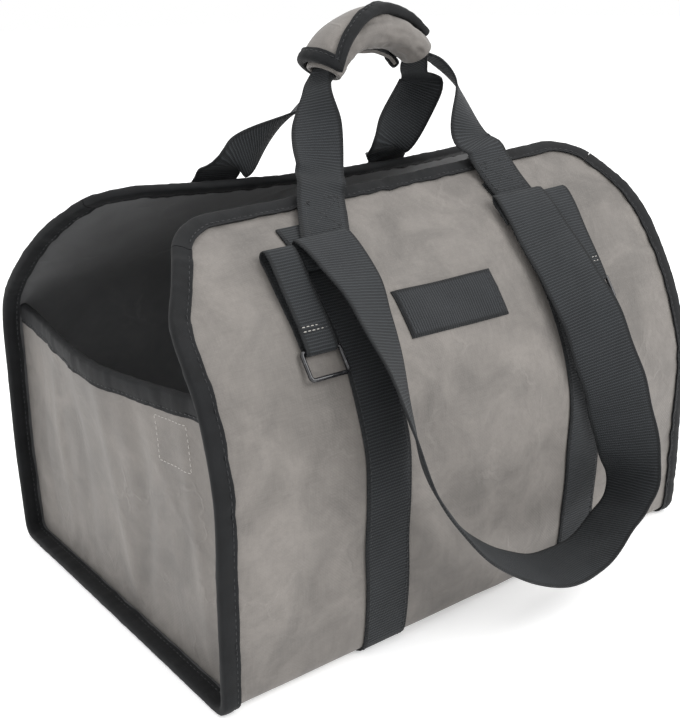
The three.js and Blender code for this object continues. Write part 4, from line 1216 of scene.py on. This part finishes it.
def build_grip_wrap():
    """The padded wrap round both handles, closed over its two ends by rounded lips."""
    along, angle = np.meshgrid(np.linspace(0, 1, WRAP_ROWS), GRIP_ANGLES, indexing="ij")
    crown = np.interp(along, *np.array(GRIP_CROWN).T)
    puff = np.clip(layers(waves, along * GRIP_LENGTH, angle * 0.35, GRIP_PUFFS), -1.2, 0.7)
    outer, _ = grip_point(along, angle, puff * smooth(along / 0.06) * smooth((1 - along) / 0.06), crown)
    inner, _ = grip_point(along, angle, -GRIP_WALL + 0 * along, GRIP_INNER)
    sides = len(GRIP_ANGLES)
    lips = []
    for end_at, outward in ((0.0, -1), (1.0, 1)):
        ring = []
        direction = grip_frame((end_at - 0.5) * GRIP_LENGTH)[1] * outward
        for turn in np.linspace(0, math.pi, 6)[1:-1]:
            grow = -GRIP_WALL / 2 + GRIP_WALL / 2 * math.cos(turn)
            p, _ = grip_point(np.full(sides, end_at), GRIP_ANGLES, np.full(sides, grow), GRIP_LIP)
            ring.append(p + direction * LIP_OUT * math.sin(turn))
        lips.append(ring)
    rings = np.concatenate([outer, lips[1], inner[::-1], lips[0][::-1]])
    at = np.linspace(0, 260, len(rings))[:, None]
    cloth = np.stack(np.broadcast_arrays(at, GRIP_ANGLES * 0.33), -1)
    fade = np.full(cloth.shape[:2], FAR_FROM_EDGE)
    wrap = loft("grip_wrap_cloth", rings, cloth, fade, ("canvas",), closed=True, crease=70)
    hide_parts("grip_wrap")


def grip_flap_place(share, row, height=0.0):
    """Point and normal of the grip's flap at a share along it and a share of its way round."""
    along = lerp(GRIP_MARGIN, 1 - GRIP_MARGIN, share)
    bulge = layers(waves, along * GRIP_LENGTH, row * GRIP_ROUND, GRIP_FLAP_PUFFS)
    bulge = bulge * smooth(row / 0.1) * smooth(np.minimum(share, 1 - share) / 0.1)
    angle = lerp(np.interp(along, *np.array(GRIP_EDGE).T), GRIP_HEM, row)
    return grip_point(along, angle, 2 * GRIP_ROOM + TAPE + GRIP_FLAP / 2 + height + bulge)


def build_grip_flap():
    """The flap that closes over the wrap's top, its tape and the tape's stitches."""
    fine = np.linspace(0, 1, FLAP_COLUMNS)
    share, row = np.meshgrid(fine, np.linspace(0, 1, FLAP_ROWS))
    top, low = (grip_flap_place(share, row, face * GRIP_FLAP / 2)[0] for face in (1, -1))
    cloth = np.stack([share * GRIP_LENGTH, row * GRIP_ROUND], -1)
    fade = np.full(share.shape, FAR_FROM_EDGE)
    flap = closed_sheet("grip_flap_cloth", top, low, cloth, fade, ("canvas", "lining"))
    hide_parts("grip_flap")

    sides = [np.stack(np.broadcast_arrays(*pair), 1) for pair in ((0, fine[::-1]), (fine, 0), (1, fine))]
    path = np.concatenate([sides[0], sides[1][1:], sides[2][1:]])
    inside = np.clip(path, (0.06, 0.07), (0.94, 1))
    points, normals = grip_flap_place(*path.T)
    square, inward, _ = edge_frames(points, grip_flap_place(*inside.T)[0], normals)
    for _ in range(3):
        inward[1:-1] = unit(inward[:-2] + inward[1:-1] + inward[2:])
    sizes = (GRIP_FLAP, GRIP_REACH, GRIP_ROOM)
    tape = binding("grip_binding_tape", points, square, inward, *sizes, SEEDS["grip"])
    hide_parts("grip_binding")
    seams = seam_lines(points[2:-2], square[2:-2], inward[2:-2], *sizes)
    stitches("grip_stitches", seams[:1])


def outer_depth(side, x, z):
    """How far from the bag's middle its outer side is, at a place along it and a height."""
    along = from_top(side, np.linspace(0, SECTION_LENGTH / 2, DEPTH_POINTS))
    point = at_place(x, along, HANDLE_LAYER)[0][::-1]
    return abs(float(np.interp(z, point[:, 2], point[:, 1])))


def build_shoulder_strap(name, side):
    """A long loop of webbing that hangs from its two sewn ends, with a box of stitches on each."""
    layer = HANDLE_LAYER + WEBBING + 3 * GAP
    hem = np.linspace(STRAP_FOLD + STRAP_BEND, STRAP_FOLD + STRAP_HEM, 4)
    rows = []

    def sewn(x, distance, height, sign):
        point, _, across, _ = at_place(x, from_top(side, distance), height)
        rows.append((point, across * sign, STRAP_WIDTH))

    left, right = -side * STRAP_LEFT, -side * STRAP_RIGHT
    root_top = float(at_place(left, from_top(side, STRAP_FOLD))[0][2])
    for distance in hem[::-1]:
        sewn(left, distance, layer, -side)
    sewn(left, STRAP_FOLD, layer + STRAP_BEND, -side)
    for along, out, down, turn in STRAP_RUN:
        x = -side * lerp(STRAP_LEFT, STRAP_RIGHT, along)
        z = root_top - down * STRAP_DROP
        angle = math.radians(turn)
        clear = outer_depth(side, x, z) + STRAP_CLEAR + STRAP_WIDTH / 2 * math.sin(angle)
        y = side * max(clear, BASE_DEPTH / 2 + out * STRAP_OUT)
        across = np.array([-side * math.cos(angle), -side * math.sin(angle), 0])
        rows.append((np.array([x, y, z]), across, STRAP_WIDTH))
    sewn(right, STRAP_FOLD, layer + STRAP_BEND, side)
    for distance in hem:
        sewn(right, distance, layer, side)
    points, across, normal, widths = run_through(rows, settle=8)
    seed = SEEDS["shoulder"] + side
    made = webbing(name + "_webbing", points, across, normal, widths, WEBBING, seed=seed)
    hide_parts(name)
    lines = []
    start, stop = STRAP_FOLD + 2 * BOX_MARGIN, STRAP_FOLD + STRAP_HEM - HEM_MARGIN
    width = STRAP_WIDTH - 2 * BOX_MARGIN
    for x in (left, right):
        lines += box_stitches(side, lambda down: (x, layer), start, stop, width, cross=False)
    stitches(name + "_stitches", lines)


def folded_path(rear, thickness, length, bulge, bar, clear):
    """Places down and height of doubled webbing that hangs from a fold and holds a bar at its foot."""
    low = clear + thickness / 2
    turn = bar / 2 + GAP + thickness / 2
    bar_height = low + turn
    crown = bulge / 2
    angles = np.linspace(0, math.pi, 7)
    path = [(length + turn * math.sin(a), bar_height - turn * math.cos(a)) for a in angles]
    path.append((length * 0.5, lerp(bar_height + turn, low + bulge, 0.6)))
    path += [(crown - crown * math.sin(a), low + crown + crown * math.cos(a)) for a in angles]
    path += [(down, low) for down in rear]
    return np.array(path)


def folded_strap(name, place_at, rear, width, thickness, length, bulge, bar, clear, step=1.6):
    """Doubled webbing round a bar, with its places given down and out from a cloth."""
    path = folded_path(rear, thickness, length, bulge, bar, clear)
    loop = np.concatenate([path, path[:1]])
    fine = catmull_rom(np.concatenate([loop, np.zeros((len(loop), 1))], 1), 12)[:, :2]
    fine, = resample(distances(fine), fine, step=step)
    fine = fine[:-1]
    points, across = place_at(fine[:, 0], fine[:, 1])
    tangent = unit(np.roll(points, -1, 0) - np.roll(points, 1, 0))
    normal = unit(np.cross(tangent, across))
    return webbing(name, points, across, normal, np.full(len(points), width), thickness, closed=True), fine


WIRE_SIDES = 14
# How far above the foot of a ring strap its two seams are
RING_SEAMS = (12, 15)


def wire_ring(name, point, across, down, normal, width, height, corner, wire):
    """A wire bent to a rectangle with round corners, hung by its top bar."""
    wide, tall = (width - wire) / 2, height - wire
    path = []
    for x, y, start in ((wide - corner, corner, -90), (wide - corner, tall - corner, 0),
                        (corner - wide, tall - corner, 90), (corner - wide, corner, 180)):
        for angle in np.radians(start + np.linspace(0, 90, 9)):
            path.append((x + corner * math.cos(angle), y + corner * math.sin(angle), angle))
    dense = []
    for k, here in enumerate(path):
        after = path[(k + 1) % len(path)]
        dense.append(here)
        if math.hypot(after[0] - here[0], after[1] - here[1]) > 3 * wire:
            for t in (0.25, 0.5, 0.75):
                dense.append((lerp(here[0], after[0], t), lerp(here[1], after[1], t), here[2]))
    path = np.array(dense)
    centre = point + path[:, :1] * across + path[:, 1:2] * down
    outward = np.cos(path[:, 2:]) * across + np.sin(path[:, 2:]) * down
    turn = np.arange(WIRE_SIDES) * 2 * math.pi / WIRE_SIDES
    cosine, sine = np.cos(turn)[None, :, None], np.sin(turn)[None, :, None]
    rings = centre[:, None] + wire / 2 * (cosine * outward[:, None] + sine * np.asarray(normal))
    places = np.stack(np.broadcast_arrays(np.arange(len(path))[:, None] * 2.0, turn[None, :]), -1)
    return loft(name, rings, places, np.full(places.shape[:2], 5.0), ("wire",), closed=True, crease=80)


def build_ring_strap(side, x):
    """A short doubled strap, the ring in its fold, and two pale seams above the ring."""
    clear = CANVAS / 2 + GAP

    def place_at(down, height):
        point, _, across, _ = at_place(np.full_like(down, x), RING_STRAP_TOP + down, height)
        return point, across

    rear = np.linspace(0, RING_STRAP_LENGTH, 7)[1:-1]
    sizes = (RING_STRAP_WIDTH, LIGHT_WEBBING, RING_STRAP_LENGTH, RING_STRAP_LOOP, RING_WIRE, clear)
    made, fine = folded_strap(side + "_ring_strap_webbing", place_at, rear, *sizes)
    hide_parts(side + "_ring_strap")
    bar_height = clear + LIGHT_WEBBING + GAP + RING_WIRE / 2
    point, normal, across, down = at_place(x, RING_STRAP_TOP + RING_STRAP_LENGTH, bar_height)
    sizes = (RING_WIDTH, RING_HEIGHT, RING_CORNER, RING_WIRE)
    ring = wire_ring(side + "_ring_wire", point, across, down, normal, *sizes)
    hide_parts(side + "_ring")
    front_side = fine[(fine[:, 1] > bar_height) & (fine[:, 0] > 4)]
    front_side = front_side[np.argsort(front_side[:, 0])]
    lines = []
    across_at = np.linspace(-RING_STRAP_WIDTH / 2 + 2, RING_STRAP_WIDTH / 2 - 2, 12)
    for above in RING_SEAMS:
        down_at = RING_STRAP_LENGTH - above
        height = float(np.interp(down_at, *front_side.T)) + LIGHT_WEBBING / 2
        lines.append(at_place(x + across_at, np.full_like(across_at, RING_STRAP_TOP + down_at), height)[:2])
    stitches(side + "_ring_strap_stitches", lines, "thread_pale", length=2.4, between=1.2)


def build_corner_loop():
    """The short tab beside the front left seam and the thin wire loop in its fold."""
    clear = CANVAS / 2 + GAP
    share = TAB_INSET / (BASE_DEPTH - CANVAS)

    def frame_at(down, height):
        level = 1 - (END_REACH + TAB_DROP + down) / END_HEIGHT
        point, normal = on_end(-1, np.full_like(level, share), level, SEAM)
        across = unit(np.array([0, 1.0, 0]) - normal * normal[..., 1:2])
        return point + normal * np.asarray(height)[..., None], across, normal

    def place_at(down, height):
        return frame_at(down, height)[:2]

    bulge = TAPE + 2 * GAP + LOOP_WIRE + TAPE
    sizes = (TAB_WIDTH, TAPE, TAB_LENGTH, bulge, LOOP_WIRE, clear)
    made, _ = folded_strap("corner_tab_tape", place_at, [TAB_LENGTH / 2], *sizes, step=0.8)
    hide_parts("corner_tab")
    bar_height = clear + TAPE + GAP + LOOP_WIRE / 2
    point, across, normal = (a[0] for a in frame_at(np.array([TAB_LENGTH]), np.array([bar_height])))
    down = np.cross(across, normal)
    down = down if down[2] < 0 else -down
    sizes = (LOOP_WIDTH, LOOP_HEIGHT, LOOP_WIRE, LOOP_WIRE)
    wire = wire_ring("corner_wire_loop", point, across, down, normal, *sizes)
    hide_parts("corner_wire")


# The patch's height in its middle, the width of its rounded rim and its seams' insets from each end
PATCH_BOW, PATCH_RIM, PATCH_SEAMS = 0.5, 1.4, (2.5, 5.0)
PATCH_COLUMNS, PATCH_ROWS = 60, 28


def build_front_patch():
    """The bare patch on the front, with two seams at each end."""
    half_x, half_y = PATCH_LENGTH / 2, PATCH_WIDTH / 2
    x, y = np.meshgrid(np.linspace(-1, 1, PATCH_COLUMNS), np.linspace(-1, 1, PATCH_ROWS))
    edge = np.minimum((1 - np.abs(x)) * half_x, (1 - np.abs(y)) * half_y)
    places, down = PATCH_PLACE + x * half_x, PATCH_TOP + half_y + y * half_y
    base = CANVAS / 2 + GAP
    height = base + WEBBING * (0.45 + 0.55 * smooth(edge / PATCH_RIM))
    height = height + PATCH_BOW * (1 - y * y) * (1 - x**4)
    outer = at_place(places, down, height)[0]
    inner = at_place(places, down, base + 0 * x)[0]
    cloth = np.stack([x * half_x, y * half_y], -1)
    made = closed_sheet("front_patch_webbing", outer, inner, cloth, edge, ("webbing",))
    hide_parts("front_patch")
    lines = []
    span = np.linspace(-0.94, 0.94, 20)
    for end_at in (-1, 1):
        for inset in PATCH_SEAMS:
            reach = half_x - inset
            height = base + WEBBING + PATCH_BOW * (1 - span**2) * (1 - (reach / half_x) ** 4)
            place = np.full_like(span, PATCH_PLACE + end_at * reach)
            lines.append(at_place(place, PATCH_TOP + half_y * (1 + span), height)[:2])
    stitches("front_patch_stitches", lines)


# Corners of the left end's sewn rectangle, as depth and height, and the share of the height it is lowered
END_BOX = [(-77, 195), (-114, 195), (-114, 164), (-77, 164)]
END_BOX_DROP = 0.045


def build_end_stitches():
    """The sewn rectangle on the left end panel."""
    lines = []
    for corner, after in zip(END_BOX, END_BOX[1:] + END_BOX[:1]):
        y, z = np.linspace(corner, after, 14).T
        share = (y + BASE_DEPTH / 2) / BASE_DEPTH
        level = (z - END_BOTTOM) / (END_HEIGHT - END_BOTTOM)
        lines.append(on_end(-1, share, level - END_BOX_DROP, SEAM, CANVAS / 2))
    stitches("end_box_stitches", lines, "thread_pale", length=2.6, between=1.4)


# Studio
VIEW_TARGET = np.array([0.0, 0.0, 150.0])
VIEW_TURN, VIEW_LIFT, VIEW_ROLL = -37.356, 18.977, -0.953
VIEW_DISTANCE, VIEW_RIGHT, VIEW_UP = 884.69, 8.673, -0.619
VIEW_LENS, VIEW_SENSOR = 53.213, 36.0
FLOOR_DROP = 0.0004
# Extent and place of the lights, in metres
LIGHTS = {
    "key": ((1.6, 1.6), (0.9, -2.0, 1.9)),
    "fill": ((1.8, 1.8), (-2.3, -0.6, 1.2)),
    "top": ((2.0, 2.0), (0.1, 0.5, 2.4)),
}
LIGHT_TARGET = np.array([0, 0, 0.2])


def aim(thing, x, y, z, place):
    """Gives a camera or light its three axes and its place."""
    rows = np.eye(4)
    rows[:3, 0], rows[:3, 1], rows[:3, 2], rows[:3, 3] = x, y, z, place
    thing.matrix_world = Matrix(rows.tolist())


def build_studio(studio):
    """Camera at the photographed angle, a pale floor and soft lights."""
    a, e, r = (math.radians(v) for v in (VIEW_TURN, VIEW_LIFT, VIEW_ROLL))
    back = np.array([math.sin(a) * math.cos(e), -math.cos(a) * math.cos(e), math.sin(e)])
    right = unit(np.cross(Z_AXIS, back))
    up = np.cross(back, right)
    rolled_right = math.cos(r) * right + math.sin(r) * up
    rolled_up = -math.sin(r) * right + math.cos(r) * up
    place = VIEW_TARGET + back * VIEW_DISTANCE - rolled_right * VIEW_RIGHT - rolled_up * VIEW_UP
    data = bpy.data.cameras.new("Camera")
    data.sensor_fit, data.lens = "VERTICAL", VIEW_LENS
    data.sensor_height = data.sensor_width = VIEW_SENSOR
    data.clip_start, data.clip_end = 0.05, 60.0
    camera = bpy.data.objects.new("Camera", data)
    bpy.context.scene.collection.objects.link(camera)
    aim(camera, rolled_right, rolled_up, back, place * MM)
    bpy.context.scene.camera = camera

    size = studio.floor_size / 2
    corners = [(x * size, y * size, 0) for x, y in ((-1, -1), (1, -1), (1, 1), (-1, 1))]
    mesh = bpy.data.meshes.new("studio_floor")
    mesh.from_pydata(corners, [], [(0, 1, 2, 3)])
    mesh.materials.append(material("floor"))
    floor = bpy.data.objects.new("studio_floor", mesh)
    floor.location.z = -FLOOR_DROP
    bpy.context.scene.collection.objects.link(floor)

    for name, (extent, where) in LIGHTS.items():
        lamp = bpy.data.lights.new(name, "AREA")
        lamp.energy = getattr(studio, name + "_power")
        lamp.shape, lamp.size, lamp.size_y = "RECTANGLE", *extent
        made = bpy.data.objects.new(name, lamp)
        bpy.context.scene.collection.objects.link(made)
        z = unit(where - LIGHT_TARGET)
        x = unit(np.cross(Z_AXIS, z))
        aim(made, x, np.cross(z, x), z, where)

    world = bpy.data.worlds.new("studio")
    world.use_nodes = True
    colour, strength = world.node_tree.nodes["Background"].inputs[:2]
    colour.default_value = (1, 1, 1, 1)
    strength.default_value = studio.sky_strength
    bpy.context.scene.world = world
    bpy.context.scene.view_settings.view_transform = "Standard"


# Settings, operators and panel
def colour_property(name, description, value):
    """A colour that a user can change."""
    return bpy.props.FloatVectorProperty(name=name, description=description, default=value,
                                         subtype="COLOR", size=3, min=0.0, max=1.0)


class CarrierClothSettings(bpy.types.PropertyGroup):
    """Sizes of the cloth's own detail."""
    relief: bpy.props.FloatProperty(name="Relief", description="How deep the canvas's dents and folds are",
                                    default=1.0, min=0.0, max=2.0, subtype="FACTOR")
    thread_radius: bpy.props.FloatProperty(
        name="Thread radius", description="Half the thickness of the sewing thread",
        default=0.00036, min=0.0001, max=0.001, unit="LENGTH")


class CarrierColourSettings(bpy.types.PropertyGroup):
    """Colours of the carrier's finishes."""
    canvas: colour_property("Canvas", "Waxed canvas of the body", (0.15, 0.138, 0.127))
    lining: colour_property("Lining", "Inner faces of the canvas", (0.085, 0.086, 0.088))
    webbing: colour_property("Webbing", "Bands, handles and straps", (0.0135, 0.015, 0.0165))
    tape: colour_property("Tape", "Bindings along the edges", (0.0045, 0.005, 0.0058))
    dark_thread: colour_property("Dark thread", "Thread of the dark seams", (0.012, 0.013, 0.015))
    pale_thread: colour_property("Pale thread", "Thread of the pale seams", (0.45, 0.43, 0.4))
    wire: colour_property("Wire", "Rings and the thin loop", (0.012, 0.012, 0.014))
    wear: bpy.props.FloatProperty(name="Wear", description="How much the finishes are rubbed and scratched",
                                  default=1.0, min=0.0, max=2.0, subtype="FACTOR")


class CarrierStudioSettings(bpy.types.PropertyGroup):
    """Floor and lights."""
    floor_size: bpy.props.FloatProperty(name="Floor size", description="Length of the square floor's sides",
                                        default=30.0, min=2.0, unit="LENGTH")
    key_power: bpy.props.FloatProperty(name="Key", description="Power of the light in front on the right",
                                       default=42.0, min=0.0, unit="POWER")
    fill_power: bpy.props.FloatProperty(name="Fill", description="Power of the light on the left",
                                        default=7.0, min=0.0, unit="POWER")
    top_power: bpy.props.FloatProperty(name="Top", description="Power of the light overhead",
                                       default=20.0, min=0.0, unit="POWER")
    sky_strength: bpy.props.FloatProperty(
        name="Surroundings", description="Brightness of the white surroundings",
        default=1.0, min=0.0)


class CARRIER_OT_studio(bpy.types.Operator):
    """Makes the camera, the pale floor and the soft lights"""
    bl_idname = "carrier.studio"
    bl_label = "Studio"

    def execute(self, context):
        build_studio(context.scene.carrier_studio)
        return {"FINISHED"}


class CARRIER_OT_panels(bpy.types.Operator):
    """Makes the canvas body and its two end panels"""
    bl_idname = "carrier.panels"
    bl_label = "Canvas Panels"

    def execute(self, context):
        build_main_panel()
        build_end_panel("left_end_panel", -1)
        build_end_panel("right_end_panel", 1)
        build_end_stitches()
        return {"FINISHED"}


class CARRIER_OT_bindings(bpy.types.Operator):
    """Makes the folded tape along all edges of the canvas"""
    bl_idname = "carrier.bindings"
    bl_label = "Edge Bindings"

    def execute(self, context):
        build_edge_bindings()
        return {"FINISHED"}


class CARRIER_OT_bands(bpy.types.Operator):
    """Makes the two bands that run round the body"""
    bl_idname = "carrier.bands"
    bl_label = "Bands"

    def execute(self, context):
        build_band("left_band", -BAND_SPREAD)
        build_band("right_band", BAND_SPREAD)
        return {"FINISHED"}


class CARRIER_OT_handles(bpy.types.Operator):
    """Makes the front and back handle"""
    bl_idname = "carrier.handles"
    bl_label = "Handles"

    def execute(self, context):
        build_handle("front_handle", FRONT)
        build_handle("back_handle", BACK)
        return {"FINISHED"}


class CARRIER_OT_grip(bpy.types.Operator):
    """Makes the padded grip with its flap and tape"""
    bl_idname = "carrier.grip"
    bl_label = "Grip"

    def execute(self, context):
        build_grip_wrap()
        build_grip_flap()
        return {"FINISHED"}


class CARRIER_OT_shoulder_straps(bpy.types.Operator):
    """Makes the shoulder strap loop of each side"""
    bl_idname = "carrier.shoulder_straps"
    bl_label = "Shoulder Straps"

    def execute(self, context):
        build_shoulder_strap("front_shoulder_strap", FRONT)
        build_shoulder_strap("back_shoulder_strap", BACK)
        return {"FINISHED"}


class CARRIER_OT_ring_straps(bpy.types.Operator):
    """Makes the two ring straps and their rings"""
    bl_idname = "carrier.ring_straps"
    bl_label = "Ring Straps"

    def execute(self, context):
        for side, place in RING_PLACES.items():
            build_ring_strap(side, place)
        return {"FINISHED"}


class CARRIER_OT_small_parts(bpy.types.Operator):
    """Makes the corner loop and the front patch"""
    bl_idname = "carrier.small_parts"
    bl_label = "Corner Loop and Patch"

    def execute(self, context):
        build_corner_loop()
        build_front_patch()
        return {"FINISHED"}


OPERATORS = (
    CARRIER_OT_studio, CARRIER_OT_panels, CARRIER_OT_bindings, CARRIER_OT_bands, CARRIER_OT_handles,
    CARRIER_OT_grip, CARRIER_OT_shoulder_straps, CARRIER_OT_ring_straps, CARRIER_OT_small_parts,
)
SETTINGS = {"carrier_cloth": CarrierClothSettings, "carrier_colours": CarrierColourSettings,
            "carrier_studio": CarrierStudioSettings}


class CARRIER_PT_panel(bpy.types.Panel):
    """Lists the settings and the pieces"""
    bl_idname = "CARRIER_PT_panel"
    bl_label = "Log Carrier"
    bl_space_type = "VIEW_3D"
    bl_region_type = "UI"
    bl_category = "Log Carrier"

    def draw(self, context):
        for name, group in SETTINGS.items():
            box = self.layout.box()
            for key in group.__annotations__:
                box.prop(getattr(context.scene, name), key)
        for operator in OPERATORS:
            self.layout.operator(operator.bl_idname)


def register():
    """Registers the settings, the operators and the panel."""
    for cls in (*SETTINGS.values(), *OPERATORS, CARRIER_PT_panel):
        bpy.utils.register_class(cls)
    for name, group in SETTINGS.items():
        setattr(bpy.types.Scene, name, bpy.props.PointerProperty(type=group))


def unregister():
    """Takes them away again."""
    for name in SETTINGS:
        delattr(bpy.types.Scene, name)
    for cls in reversed((*SETTINGS.values(), *OPERATORS, CARRIER_PT_panel)):
        bpy.utils.unregister_class(cls)


def main():
    """Builds everything in order."""
    register()
    for operator in OPERATORS:
        group, name = operator.bl_idname.split(".")
        getattr(getattr(bpy.ops, group), name)()


if __name__ == "__main__":
    main()
